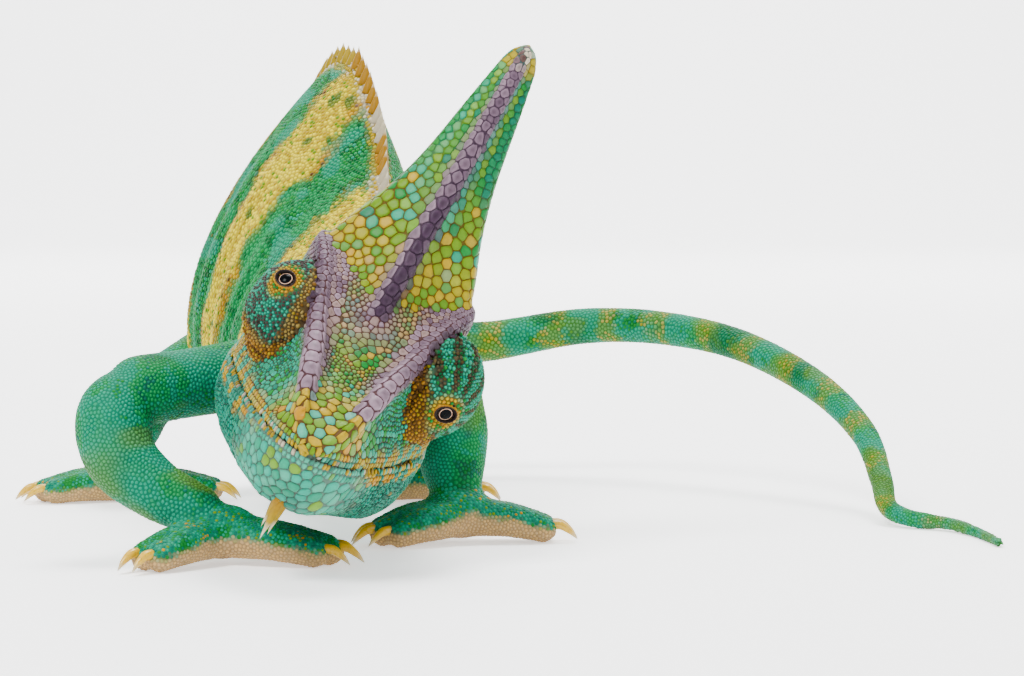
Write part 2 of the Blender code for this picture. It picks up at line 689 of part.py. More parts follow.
def make_toes(name, palm, end, toes):
    """One bundle of fused toes and the claws at their ends, with what cuts their neighbours."""
    ends, ahead, across, offsets = toe_ends(palm, end, toes)
    palm = np.array(palm, float)
    parts, claws = [], []
    for i, (tip, offset) in enumerate(zip(ends, offsets)):
        root = palm + across * offset * 0.55 + ahead * (1.5 + 0.17 * i) - np.array([0.0, 0.0, 0.6])
        knuckle = root + KNUCKLE_AT * (tip - root) + across * offset * 0.14
        knuckle += np.array([0.0, 0.0, 0.5 - 0.11 * i])
        middle_radius = 0.5 * (TOE_ROOT_RADIUS + TOE_TIP_RADIUS) * (1 - 0.03 * i)
        rows = [(*root, TOE_ROOT_RADIUS), (*knuckle, middle_radius), (*tip, TOE_TIP_RADIUS)]
        parts.append(limb_tube(f"{name}_{i}", rows, "body_skin", samples=4, resolution=2, dome=(62,)))
        start = tip + ahead * 1.0 + np.array([0.0, 0.0, 0.4])
        reach = CLAW_LENGTH * np.array(CLAW_REACH)
        drop = np.array([*CLAW_ARCH, CLAW_TIP_HEIGHT - tip[2]])
        base = start + ahead * TOE_TIP_RADIUS * 0.35
        line = [start] + [base + ahead * r + np.array([0, 0, d]) for r, d in zip(reach, drop)]
        radii = [CLAW_RADIUS, CLAW_RADIUS * 0.95, CLAW_RADIUS * 0.62, CLAW_RADIUS * 0.2]
        claws.append(tube(f"{name}_claw_{i + 1}", line, radii, "claw", resolution=1))
    cutters = [swollen(part) for part in parts]
    bundle = united(name, parts)
    for claw in claws:
        combine(claw, cutters, "DIFFERENCE")
    return bundle, claws, cutters


def make_floor():
    """A block under the floor, which takes off what would sink into it."""
    mesh = bpy.data.meshes.new("floor")
    bm = bmesh.new()
    bmesh.ops.create_cube(bm, size=1.0)
    bm.to_mesh(mesh)
    bm.free()
    mesh.transform(Matrix.Translation((0.0, 0.0, -0.01)) @ Matrix.Diagonal((0.4, 0.4, 0.02, 1.0)))
    block = bpy.data.objects.new("floor", mesh)
    CUTTERS.objects.link(block)
    block.hide_render = True
    block.display_type = "WIRE"
    return block


def make_limb(name, limb, body, floor):
    """One leg: its two lengths, the palm, two bundles of toes and five claws."""
    foot = name + "_foot"
    inner_toes = TOES_PER_FOOT - limb["outer_toes"]
    palm = ball(foot, limb["palm"], PALM_RADII, "body_skin")
    lower = limb_tube(name + "_lower", limb["lower"], "body_skin")
    upper = limb_tube(name + "_upper", limb["upper"], "body_skin")
    palm_cutter, lower_cutter = swollen(palm), swollen(lower)
    at = limb["palm"]
    outer, outer_claws, outer_cutters = make_toes(foot + "_outer_toes", at, limb["outer"], limb["outer_toes"])
    inner, inner_claws, inner_cutters = make_toes(foot + "_inner_toes", at, limb["inner"], inner_toes)
    combine(outer, [palm_cutter, floor], "DIFFERENCE")
    combine(inner, [palm_cutter, *outer_cutters, floor], "DIFFERENCE")
    for piece in (palm, *outer_claws, *inner_claws):
        combine(piece, [floor], "DIFFERENCE")
    combine(lower, [palm_cutter, *outer_cutters, *inner_cutters, *body], "DIFFERENCE")
    combine(upper, [lower_cutter, *body], "DIFFERENCE")


def new_collection(name):
    made = bpy.data.collections.new(name)
    bpy.context.scene.collection.children.link(made)
    return made


for thing in list(bpy.data.objects):
    bpy.data.objects.remove(thing)
MODEL = new_collection("veiled_chameleon")
CUTTERS = new_collection("cutters")
CUTTERS.hide_render = True

turrets = [make_eye(side) for side in ("left", "right")]
head = make_skull()
jaw = make_lower_jaw()
casque = make_casque()
cut_by(casque, head, *turrets)
cut_by(head, *turrets)
neck, trunk = make_neck_and_trunk()
cut_by(neck, head, jaw, casque)
cut_by(trunk, head, jaw, casque)
tail = make_tail()
body_cutters = [swollen(piece) for piece in (jaw, neck, trunk)]
for before, after in zip([trunk, *tail], tail):
    cut_by(after, before)
floor_block = make_floor()
combine(tail[-1], [floor_block], "DIFFERENCE")
for limb_name, limb_shape in LIMBS.items():
    make_limb(limb_name, limb_shape, body_cutters, floor_block)
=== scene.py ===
"""The looks of an adult male veiled chameleon at life size: skin, scales, spines, eyes and claws.

Shapes are worked out in millimetres in a standing frame: +X to the animal's left, -Y the way it
faces, +Z up, with the floor at zero. They become metres in the row frame when a mesh is made.
The head has a frame of its own, (left, forward, up) about the midpoint between the eyes.
"""

import logging
import math
from collections.abc import Callable
from dataclasses import dataclass, field
from enum import Enum, IntEnum
from functools import cache
from itertools import product

import bpy
import numpy as np
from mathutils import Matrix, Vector
from mathutils.bvhtree import BVHTree
from mathutils.kdtree import KDTree


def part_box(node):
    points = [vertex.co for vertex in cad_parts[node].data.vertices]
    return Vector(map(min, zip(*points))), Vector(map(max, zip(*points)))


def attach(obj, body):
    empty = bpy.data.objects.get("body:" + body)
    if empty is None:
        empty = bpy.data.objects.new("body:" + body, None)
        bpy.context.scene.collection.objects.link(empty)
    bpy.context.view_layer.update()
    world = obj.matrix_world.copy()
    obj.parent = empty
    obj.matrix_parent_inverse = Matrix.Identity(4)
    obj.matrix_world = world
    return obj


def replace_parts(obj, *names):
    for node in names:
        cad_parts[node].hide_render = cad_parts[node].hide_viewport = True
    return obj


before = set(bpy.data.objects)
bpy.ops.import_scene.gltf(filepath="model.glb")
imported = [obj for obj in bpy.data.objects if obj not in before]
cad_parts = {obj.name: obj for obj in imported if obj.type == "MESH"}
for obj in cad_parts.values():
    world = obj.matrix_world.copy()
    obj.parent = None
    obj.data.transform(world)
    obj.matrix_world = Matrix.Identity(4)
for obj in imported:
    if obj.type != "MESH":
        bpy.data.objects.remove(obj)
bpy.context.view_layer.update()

MM = 0.001
TURN = 2 * math.pi
SIDES = {"left": 1.0, "right": -1.0}
Array = np.ndarray
log = logging.getLogger("chameleon")


class Region(IntEnum):
    """The parts of the body that wear different scales."""

    SKULL = 0
    CASQUE = 1
    JAW = 2
    TURRET_LEFT = 3
    TURRET_RIGHT = 4
    BODY = 5
    TAIL = 6
    ARM = 7
    LEG = 8
    PALM = 9
    TOES = 10


TURRETS = {"left": Region.TURRET_LEFT, "right": Region.TURRET_RIGHT}
FEET = (Region.PALM, Region.TOES)


# ---- working with arrays


def through(knots: Array, values: Array, at: Array) -> Array:
    """A smooth cubic through values at knots, with slopes from the neighbouring knots.

    Args:
        knots: rising places, K of them.
        values: K values, each a number or an array.
        at: the places to read, any number of them.

    Returns:
        The values read at each place.
    """
    knots, values, at = (np.asarray(v, float) for v in (knots, values, at))
    slope = np.gradient(values, knots, axis=0)
    left = np.clip(np.searchsorted(knots, at) - 1, 0, len(knots) - 2)
    width = knots[left + 1] - knots[left]
    t = (at - knots[left]) / width
    more = (slice(None),) * at.ndim + (None,) * (values.ndim - 1)
    t, width = t[more], width[more]
    return (
        values[left] * (1 + 2 * t) * (1 - t) ** 2
        + slope[left] * width * t * (1 - t) ** 2
        + values[left + 1] * t**2 * (3 - 2 * t)
        + slope[left + 1] * width * t**2 * (t - 1)
    )


def straight(knots: Array, table: Array, at: Array) -> Array:
    """Each column of a table at rising knots, read at other places in straight lines."""
    return np.stack([np.interp(at, knots, column) for column in np.asarray(table).T], axis=-1)


def held(x: Array, knots: tuple) -> Array:
    """The same places, with those past the first or the last knot brought back to it."""
    return np.clip(x, knots[0], knots[-1])


def lengths(line: Array) -> Array:
    """How far along a line each of its points is."""
    return np.concatenate([[0], np.cumsum(np.linalg.norm(np.diff(line, axis=0), axis=1))])


def once_round(count: int) -> Array:
    """Evenly spaced angles, once round."""
    return np.linspace(0, TURN, count, endpoint=False)


def of_side(pair: tuple, side: str) -> Array:
    """The left or the right one of a pair."""
    return np.array(pair[list(SIDES).index(side)])


def tree_of(points: Array) -> KDTree:
    """A tree that finds the nearest of the points."""
    tree = KDTree(len(points))
    for i, point in enumerate(points):
        tree.insert(point, i)
    tree.balance()
    return tree


def ease(x: Array, low: float, high: float) -> Array:
    """A smooth step: 0 below low, 1 above high, 3t^2 - 2t^3 between (low may be the greater)."""
    t = np.clip((np.asarray(x, float) - low) / (high - low), 0.0, 1.0)
    return t * t * (3 - 2 * t)


def bump(x: Array, middle: float, width: float) -> Array:
    """A bell that is 1 at the middle and falls off over the width."""
    return np.exp(-(((np.asarray(x, float) - middle) / width) ** 2))


def unit(vectors: Array) -> Array:
    """The same directions at length one."""
    return vectors / np.maximum(np.linalg.norm(vectors, axis=-1, keepdims=True), 1e-9)


def scatter(cells: Array, seed: int) -> Array:
    """A fixed number from 0 to 1 for each whole-number cell (the last axis), by an integer hash.

    Args:
        cells: whole numbers, three or fewer for each cell.
        seed: gives another set of numbers.

    Returns:
        The numbers, one for each cell.
    """
    factors = np.array([73856093, 19349663, 83492791], np.int64)[: cells.shape[-1]]
    mixed = np.bitwise_xor.reduce(cells.astype(np.int64) * factors, axis=-1) ^ (seed * 2654435761)
    mixed = ((mixed ^ (mixed >> 13)) * 1274126177) & 0xFFFFFFFF
    return ((mixed ^ (mixed >> 16)) & 0xFFFFFF) / float(0xFFFFFF)


def noise(points: Array, size: float, seed: int = 0) -> Array:
    """Smooth noise from -1 to 1: hashed corner values eased across cells of the given size.

    Args:
        points: places, one a row.
        size: width of a cell.
        seed: gives another noise.

    Returns:
        A number for each point.
    """
    placed = points / size
    base = np.floor(placed).astype(np.int64)
    t = placed - base
    t = t * t * (3 - 2 * t)
    total = np.zeros(len(points))
    for corner in product((0, 1), repeat=3):
        pick = np.array(corner)
        total += np.prod(np.where(pick == 1, t, 1 - t), axis=1) * scatter(base + pick, seed)
    return 2 * total - 1


def mix(first: Array, second: Array, share: Array | float) -> Array:
    """The first colour where share is 0 and the second where it is 1."""
    share = np.clip(share, 0, 1)[..., None]
    return first * (1 - share) + second * share


def srgb(code: str) -> Array:
    """A screen colour, as six hex digits, turned to linear light."""
    value = np.array([int(code[i : i + 2], 16) for i in (0, 2, 4)]) / 255
    return np.where(value <= 0.04045, value / 12.92, ((value + 0.055) / 1.055) ** 2.4)


def ramp(x: Array, stops: list[tuple[float, Array]]) -> Array:
    """Colours between stops, in straight lines.

    Args:
        x: where to read the ramp.
        stops: rising places, each with its colour.

    Returns:
        A colour for each x.
    """
    places, colours = zip(*stops)
    return straight(places, colours, x)


# ---- forms of the body


def ring_quads(rows: int, columns: int) -> Array:
    """The quads of a grid that closes on itself round."""
    at = np.arange(rows * columns).reshape(rows, columns)
    beside = np.roll(at, -1, axis=1)
    return np.stack([at[:-1], beside[:-1], beside[1:], at[1:]], axis=-1).reshape(-1, 4)


@dataclass
class Form:
    """A closed surface on a grid: rows along it and columns round it.

    Attributes:
        region: the part of the body.
        grid: rows x columns x 3 positions, in the standing frame.
        along: a number for each row, kept as a place along the part where its colours need one.
        share: a number for each column, kept as a place round the part.
    """

    region: Region
    grid: Array
    along: Array | float = 0.0
    share: Array | float = 0.0

    def mesh(self) -> tuple[Array, Array, Array]:
        """The grid's points with a middle point at each end, its quads, and the triangles that close it."""
        rows, columns = self.grid.shape[:2]
        ends = np.array([self.grid[0].mean(axis=0), self.grid[-1].mean(axis=0)])
        points = np.vstack([self.grid.reshape(-1, 3), ends])
        at = np.arange(columns)
        beside = np.roll(at, -1)
        last = (rows - 1) * columns
        start = np.column_stack([beside, at, np.full(columns, rows * columns)])
        end = np.column_stack([at + last, beside + last, np.full(columns, rows * columns + 1)])
        return points, ring_quads(rows, columns), np.vstack([start, end])

    def notes(self) -> Array:
        """Region, along and share for each of the grid's points."""
        shape = self.grid.shape[:2]
        along = np.broadcast_to(np.reshape(self.along, (-1, 1)), shape)
        share = np.broadcast_to(self.share, shape)
        return np.column_stack([np.full(along.size, float(self.region)), along.ravel(), share.ravel()])


def tube_grid(path: Array, radii: Array, columns: int) -> Array:
    """A round tube along a path, its cross-sections square to the way the path runs.

    The sideways direction is square to the plane that fits the path best, so it never flips.

    Args:
        path: points along the middle.
        radii: the tube's radius at each point.
        columns: points round each section.

    Returns:
        Rows x columns x 3 positions.
    """
    ahead = unit(np.gradient(path, axis=0))
    normal = np.linalg.svd(path - path.mean(axis=0))[2][2]
    side = unit(normal - ahead * (ahead @ normal)[:, None])
    up = np.cross(side, ahead)
    turn = once_round(columns)
    ring = np.cos(turn)[None, :, None] * up[:, None] + np.sin(turn)[None, :, None] * side[:, None]
    return path[:, None] + ring * np.asarray(radii)[:, None, None]


def domed(path: Array, radii: Array, steps: int = 5) -> tuple[Array, Array]:
    """Lengthens a path at both ends by its radius, which falls there as on a ball.

    Args:
        path: points along the middle.
        radii: the radius at each.
        steps: points added at each end.

    Returns:
        The longer path and its radii.
    """
    turn = np.linspace(0, math.pi / 2, steps + 1)[1:] * 0.97
    first, last = unit(path[0] - path[1]), unit(path[-1] - path[-2])
    start = path[0] + first * radii[0] * np.sin(turn)[::-1, None]
    end = path[-1] + last * radii[-1] * np.sin(turn)[:, None]
    radii = np.concatenate([radii[0] * np.cos(turn)[::-1], radii, radii[-1] * np.cos(turn)])
    return np.vstack([start, path, end]), radii


def tube_form(region: Region, rows: list, samples: int, columns: int) -> Form:
    """A tube with domed ends on a smooth curve through rows of (x, y, z, radius).

    Args:
        region: the part of the body.
        rows: the table.
        samples: rings before the domes.
        columns: points round it.

    Returns:
        The tube.
    """
    table = np.asarray(rows, float)
    smooth = through(np.arange(len(table)), table, np.linspace(0, len(table) - 1, samples))
    return Form(region, tube_grid(*domed(smooth[:, :3], smooth[:, 3]), columns))


def ball_form(region: Region, centre: Array, radii: Array, rows: int = 22, columns: int = 30) -> Form:
    """An oval ball about a centre.

    Args:
        region: the part of the body.
        centre: its middle, in the standing frame.
        radii: its three radii.
        rows, columns: points from pole to pole, and round it.

    Returns:
        The ball.
    """
    tilt = np.linspace(0.04, math.pi - 0.04, rows)[:, None]
    turn = once_round(columns)[None]
    shape = np.stack(
        [np.sin(tilt) * np.cos(turn), np.sin(tilt) * np.sin(turn), np.cos(tilt) * np.ones_like(turn)], -1
    )
    return Form(region, np.asarray(centre, float) + shape * np.asarray(radii, float))


def capped(first: float, cap: tuple, rows: int, least: float) -> tuple[Array, Array]:
    """Places of a form's outlines, evenly spaced up to a cap in which they draw in.

    Args:
        first: the first place.
        cap: where the cap starts, and its outlines.
        rows: outlines before the cap.
        least: the share of its size that the last outline keeps.

    Returns:
        The places, and the share of its size that each outline keeps.
    """
    at = np.concatenate([np.linspace(first, cap[0], rows), cap[1:]])
    return at, np.interp(at, [cap[0], cap[-1]], [1.0, least])


def outline(corners: list[tuple[Array, Array]], points: int) -> Array:
    """Smooth curves by way of corners, each a pair with one number for each row.

    Args:
        corners: across and up, or across and forward, for each corner.
        points: points on each curve.

    Returns:
        Points x rows x 2 positions.
    """
    table = np.stack([np.stack(pair, -1) for pair in corners])
    return through(np.arange(len(corners)), table, np.linspace(0, len(corners) - 1, points))


def mirrored(half: Array) -> Array:
    """Whole rings from half rings that start and end on the middle plane: rows x points x 3."""
    other = half[1:-1][::-1] * np.array([-1.0, 1.0, 1.0])
    return np.swapaxes(np.concatenate([half, other]), 0, 1)


@dataclass
class Head:
    """The head: where it is held, how it is turned, and the stations and end caps of its forms."""

    midpoint: tuple = (-23.3, -3.3, 35.3)
    pitch: float = math.radians(17.2)
    roll: float = math.radians(29.3)
    yaw: float = math.radians(3.0)
    gap: float = 0.3
    skull_at: tuple = (-32, -24, -16, -8, 0, 7, 14, 20, 24)
    roof_height: tuple = (2.0, 6.5, 9.2, 7.8, 3.0, -0.4, -3.1, -5.3, -8.1)
    crest_half_width: tuple = (9.0, 11.8, 13.8, 11.5, 9.1, 7.1, 5.6, 4.1, 2.2)
    crest_height: tuple = (0.5, 4.8, 7.9, 6.7, 2.8, 0.2, -2.4, -4.9, -8.0)
    lip_half_width: tuple = (12.0, 15.2, 17.0, 17.0, 14.4, 11.8, 8.4, 5.2, 2.0)
    lip_height: tuple = (-17.0, -16.4, -15.6, -14.7, -13.9, -13.1, -12.1, -10.9, -9.9)
    skull_cap: tuple = (23.6, 24.2, 24.6, 24.85)
    jaw_at: tuple = (-32, -24, -16, -8, 0, 7, 14, 19.5, 22.6)
    jaw_half_width: tuple = (12.5, 16.0, 17.8, 17.6, 15.4, 12.6, 9.2, 5.8, 2.8)
    jaw_bottom: tuple = (-26.0, -29.2, -30.0, -29.6, -27.4, -25.2, -23.2, -20.8, -16.2)
    jaw_cap: tuple = (22.6, 23.2, 23.6, 23.85)
    throat_squareness: float = 3.2
    throat_sag: float = 0.15
    casque_at: tuple = (5, 8, 12, 16, 20, 26, 33, 40, 44, 45.8)
    casque_front: tuple = (-4.5, -6.6, -9.4, -12.1, -14.8, -18.8, -23.4, -27.9, -30.6, -31.8)
    casque_half_width: tuple = (12.8, 12.6, 11.2, 9.4, 7.9, 6.3, 5.0, 3.7, 2.8, 2.0)
    casque_side: tuple = (-13.5, -14.4, -16.4, -18.3, -20.2, -23.0, -26.4, -29.8, -31.9, -32.6)
    casque_rear: tuple = (-33.5, -34.0, -34.6, -35.2, -35.7, -36.2, -36.5, -36.3, -35.6, -34.6)
    casque_lean: tuple = (0.0, 0.1, 0.3, 0.5, 0.7, 0.9, 1.1, 1.3, 1.4, 1.4)
    casque_cap: tuple = (45.2, 45.7, 46.1, 46.4)
    ridge_rise: float = 1.5
    ridge_half_width: float = 1.7
    mouth_corner: float = -8.0
    turret_centre: tuple = ((13.7, -6.5, -2.1), (-12.1, -6.5, -2.7))
    turret_radius: float = 8.1
    turret_shape: tuple = (0.87, 1.0, 1.05)
    ball_radius: float = 2.0
    ball_out: float = 0.5
    fold_centre: tuple = ((12.3, -2.4, -6.8), (-11.8, -2.4, -6.4))
    fold_radius: float = 4.8
    gaze: tuple = ((0.38, 0.92, -0.07), (-0.43, 0.56, 0.71))

    def __post_init__(self) -> None:
        """Works out the head's left, forward and up directions: level, then yaw, pitch and roll."""
        (cx, sx), (cy, sy), (cz, sz) = (
            (math.cos(a), math.sin(a)) for a in (self.pitch, self.roll, self.yaw)
        )
        about_x = np.array([[1, 0, 0], [0, cx, -sx], [0, sx, cx]])
        about_y = np.array([[cy, 0, sy], [0, 1, 0], [-sy, 0, cy]])
        about_z = np.array([[cz, -sz, 0], [sz, cz, 0], [0, 0, 1]])
        self.axes = np.diag([1.0, -1.0, 1.0]) @ (about_y @ about_x @ about_z).T

    def out(self, points: Array) -> Array:
        """Head points, (left, forward, up), in the standing frame."""
        return np.asarray(self.midpoint) + np.asarray(points, float) @ self.axes

    def within(self, points: Array) -> Array:
        """Standing points as (left, forward, up) in the head."""
        return (np.asarray(points, float) - np.asarray(self.midpoint)) @ self.axes.T

    def crest(self, at: Array) -> tuple[Array, Array]:
        """Half width and height of the brow crest at each place forward."""
        return through(self.skull_at, self.crest_half_width, at), through(self.skull_at, self.crest_height, at)

    def lip(self, at: Array) -> tuple[Array, Array]:
        """Half width and height of the lip at each place forward."""
        return through(self.skull_at, self.lip_half_width, at), through(self.skull_at, self.lip_height, at)

    def turret_axes(self, side: str) -> tuple[Array, Array, Array, Array]:
        """Centre of an eye turret and the directions of its gaze, across it and up it, in the head."""
        gaze = unit(of_side(self.gaze, side))
        across = unit(np.cross(gaze, [0.0, 0.0, 1.0]))
        return of_side(self.turret_centre, side), gaze, across, np.cross(across, gaze)

    def skull(self, rows: int = 90, points: int = 44) -> Form:
        """The upper head: each outline is a smooth curve by way of roof, crest, orbit and lip."""
        at, tight = capped(-32, self.skull_cap, rows, 0.35)
        roof = through(self.skull_at, self.roof_height, at)
        (crest, crest_z), (lip, lip_z) = self.crest(at), self.lip(at)
        crest, lip = crest * tight, lip * tight
        floor = lip_z + self.gap / 2
        dish = 0.9 * bump(at, 6.0, 12.0)
        curve = outline(
            [
                (0 * at, roof - dish),
                (0.62 * crest, 0.5 * (roof + crest_z) - 0.4 - dish),
                (crest - 0.8, crest_z + 0.7),
                (crest + 0.5, crest_z - 0.5),
                (0.55 * crest + 0.45 * lip - 0.4, 0.55 * crest_z + 0.45 * floor),
                (lip - 0.1, 0.18 * crest_z + 0.82 * floor),
                (lip, floor),
            ],
            points,
        )
        curve = np.concatenate([curve, np.stack([0 * at, floor], -1)[None]])
        half = np.stack([curve[..., 0], np.broadcast_to(at, curve.shape[:2]), curve[..., 1]], -1)
        return Form(Region.SKULL, self.out(mirrored(half)))

    def jaw(self, rows: int = 80, points: int = 36) -> Form:
        """The lower jaw and throat: each outline is the lower half of a rounded box, sagging behind."""
        at, tight = capped(-31.6, self.jaw_cap, rows, 0.35)
        half_width = through(self.jaw_at, self.jaw_half_width, at) * tight
        top = self.lip(at)[1] - self.gap / 2
        bottom = top + (through(self.jaw_at, self.jaw_bottom, at) - top) * tight
        angle = np.linspace(0, math.pi / 2, points)[:, None]
        power = 2 / self.throat_squareness
        x = half_width * np.cos(angle) ** power
        z = top + (bottom - top) * np.sin(angle) ** power
        x[-1] = 0.0
        half = np.stack([x, np.broadcast_to(at, x.shape), z], -1)
        ring = mirrored(np.concatenate([np.stack([0 * at, at, top], -1)[None], half]))
        low = np.clip((top[:, None] - ring[..., 2]) / (top - bottom)[:, None], 0, 1)
        ring[..., 2] -= self.throat_sag * ring[..., 0] * low * np.clip((12 - at) / 20, 0, 1)[:, None]
        return Form(Region.JAW, self.out(ring))

    def casque_lines(self, height: Array) -> tuple[Array, ...]:
        """Front, half width, side, rear and lean of the casque at each height."""
        tables = (self.casque_front, self.casque_half_width, self.casque_side, self.casque_rear, self.casque_lean)
        return tuple(through(self.casque_at, table, height) for table in tables)

    def casque(self, rows: int = 90, points: int = 44) -> Form:
        """The helmet: each outline is a smooth curve by way of ridge, front face, side and rear."""
        height, tight = capped(5, self.casque_cap, rows, 0.45)
        front, wide, side, rear, lean = self.casque_lines(height)
        wide = wide * tight
        ridge = np.minimum(self.ridge_half_width, 0.55 * wide)
        curve = outline(
            [
                (0 * height, front + self.ridge_rise),
                (0.75 * ridge, front + 0.75 * self.ridge_rise),
                (ridge, front - 0.6),
                (0.58 * wide + 0.3, 0.45 * front + 0.55 * side - 0.3),
                (wide, side),
                (0.92 * wide, 0.62 * side + 0.38 * rear),
                (0.52 * wide, 0.22 * side + 0.78 * rear),
                (0 * height, rear),
            ],
            points,
        )
        half = np.stack([curve[..., 0], curve[..., 1], np.broadcast_to(height, curve.shape[:2])], -1)
        form = Form(Region.CASQUE, self.out(mirrored(half)))
        form.grid += (lean[:, None] * self.axes[0])[:, None]
        return form

    def ridge_line(self, height: Array) -> Array:
        """Points along the top of the casque's front ridge, in the head."""
        front, _, _, _, lean = self.casque_lines(height)
        return np.stack([lean, front + self.ridge_rise, height], -1)

    def crest_line(self, side: float, at: Array) -> Array:
        """Points along the top of one brow crest, in the head."""
        wide, height = self.crest(at)
        return np.stack([side * wide, at, height], -1)

    def ridges(self) -> list[Form]:
        """The raised rolls that the big plates sit on: the casque's front ridge and both brows."""
        height = np.linspace(3.6, 44.6, 80)
        line = self.ridge_line(height) - np.array([0, 1.5, 0.2])
        radii = 1.8 * ease(height, 2.0, 8.0) * np.interp(height, [8, 26, 44], [1.0, 0.85, 0.5])
        rolls = [Form(Region.CASQUE, self.out(tube_grid(line, radii, 20)))]
        at = np.linspace(19.5, -17.5, 68)
        sink = 2.2 * ease(at, 12.5, 19.5)
        radii = np.interp(at, [-17.5, -12, 8, 13.0, 19.5], [0.9, 1.45, 1.75, 1.7, 1.1])
        for side in SIDES.values():
            line = self.crest_line(side, at) + np.stack([-0.5 * side + 0 * at, 0 * at, -0.55 - sink], -1)
            rolls.append(Form(Region.SKULL, self.out(tube_grid(line, radii, 18))))
        return rolls

    def crease(self, at: Array) -> Array:
        """How deep in the mouth line or in the seam round an eye each head point lies, 0 to 1."""
        low = self.lip(held(at[:, 1], self.skull_at))[1]
        open_line = ease(at[:, 1], self.mouth_corner - 1.0, self.mouth_corner + 1.0)
        deep = bump(at[:, 2], low, 0.42) * open_line * ease(at[:, 1], 27, 26)
        outside = ease(at[:, 2], low + 2.0, low + 3.5)
        for side in SIDES:
            away = (at - self.turret_axes(side)[0]) / np.array(self.turret_shape)
            gap = np.linalg.norm(away, axis=1) - self.turret_radius
            deep = np.maximum(deep, 0.85 * bump(gap, 0.35, 0.5) * outside)
        return deep

    def seen_from_turret(self, side: str, at: Array) -> tuple[Array, Array]:
        """The direction of each head point from the middle of a turret, and its angle from the gaze.

        Args:
            side: left or right.
            at: points in the head.

        Returns:
            The directions and the angles.
        """
        centre, gaze, _, _ = self.turret_axes(side)
        away = unit((at - centre) / np.array(self.turret_shape))
        return away, np.arccos(np.clip(away @ gaze, -1, 1))

    def wrinkle(self, side: str, at: Array) -> Array:
        """The folds round the lower edge of an eye turret at each head point: 1 on a fold, -1 between.

        Args:
            side: left or right.
            at: points in the head.

        Returns:
            A number for each point.
        """
        away, tilt = self.seen_from_turret(side, at)
        low = ease(away[:, 2], 0.15, -0.35) if side == "right" else ease(away[:, 0], 0.75, 0.3)
        wave = np.sin(TURN * (tilt / 0.21 + 0.35 * noise(at, 3.0, 17)))
        return wave * low * ease(tilt, 0.5, 0.8)

    def turret_point(self, side: str, tilt: Array, turn: Array, rise: Array) -> Array:
        """Points on an eye turret.

        The ball is turned about the gaze, then pressed to its width, depth and height.

        Args:
            side: left or right.
            tilt: angle from the gaze.
            turn: angle round the gaze.
            rise: distance from the centre.

        Returns:
            Points in the head.
        """
        centre, gaze, across, up = self.turret_axes(side)
        ways = (
            np.cos(tilt)[..., None] * gaze
            + (np.sin(tilt) * np.cos(turn))[..., None] * across
            + (np.sin(tilt) * np.sin(turn))[..., None] * up
        )
        return centre + ways * np.asarray(rise)[..., None] * np.array(self.turret_shape)

    def turret(self, side: str, rows: int = 64, columns: int = 72) -> Form:
        """An eye turret: a ball drawn out a little towards its lid opening."""
        tilt = np.linspace(0.03, math.pi - 0.05, rows)[:, None] * np.ones(columns)
        turn = np.ones((rows, 1)) * once_round(columns)
        rise = self.turret_radius * (1 + 0.05 * bump(tilt, 0.3, 0.28) - 0.05 * bump(tilt, 0.0, 0.14))
        return Form(TURRETS[side], self.out(self.turret_point(side, tilt, turn, rise)))

    def fold(self, side: str) -> Form:
        """The loose fold of skin below and before an eye turret."""
        return ball_form(TURRETS[side], self.out(of_side(self.fold_centre, side)), (self.fold_radius,) * 3)

    def forms(self) -> list[Form]:
        """Every form of the head."""
        eyes = [self.turret(side) for side in SIDES] + [self.fold(side) for side in SIDES]
        return [self.skull(), self.jaw(), self.casque(), *self.ridges(), *eyes]


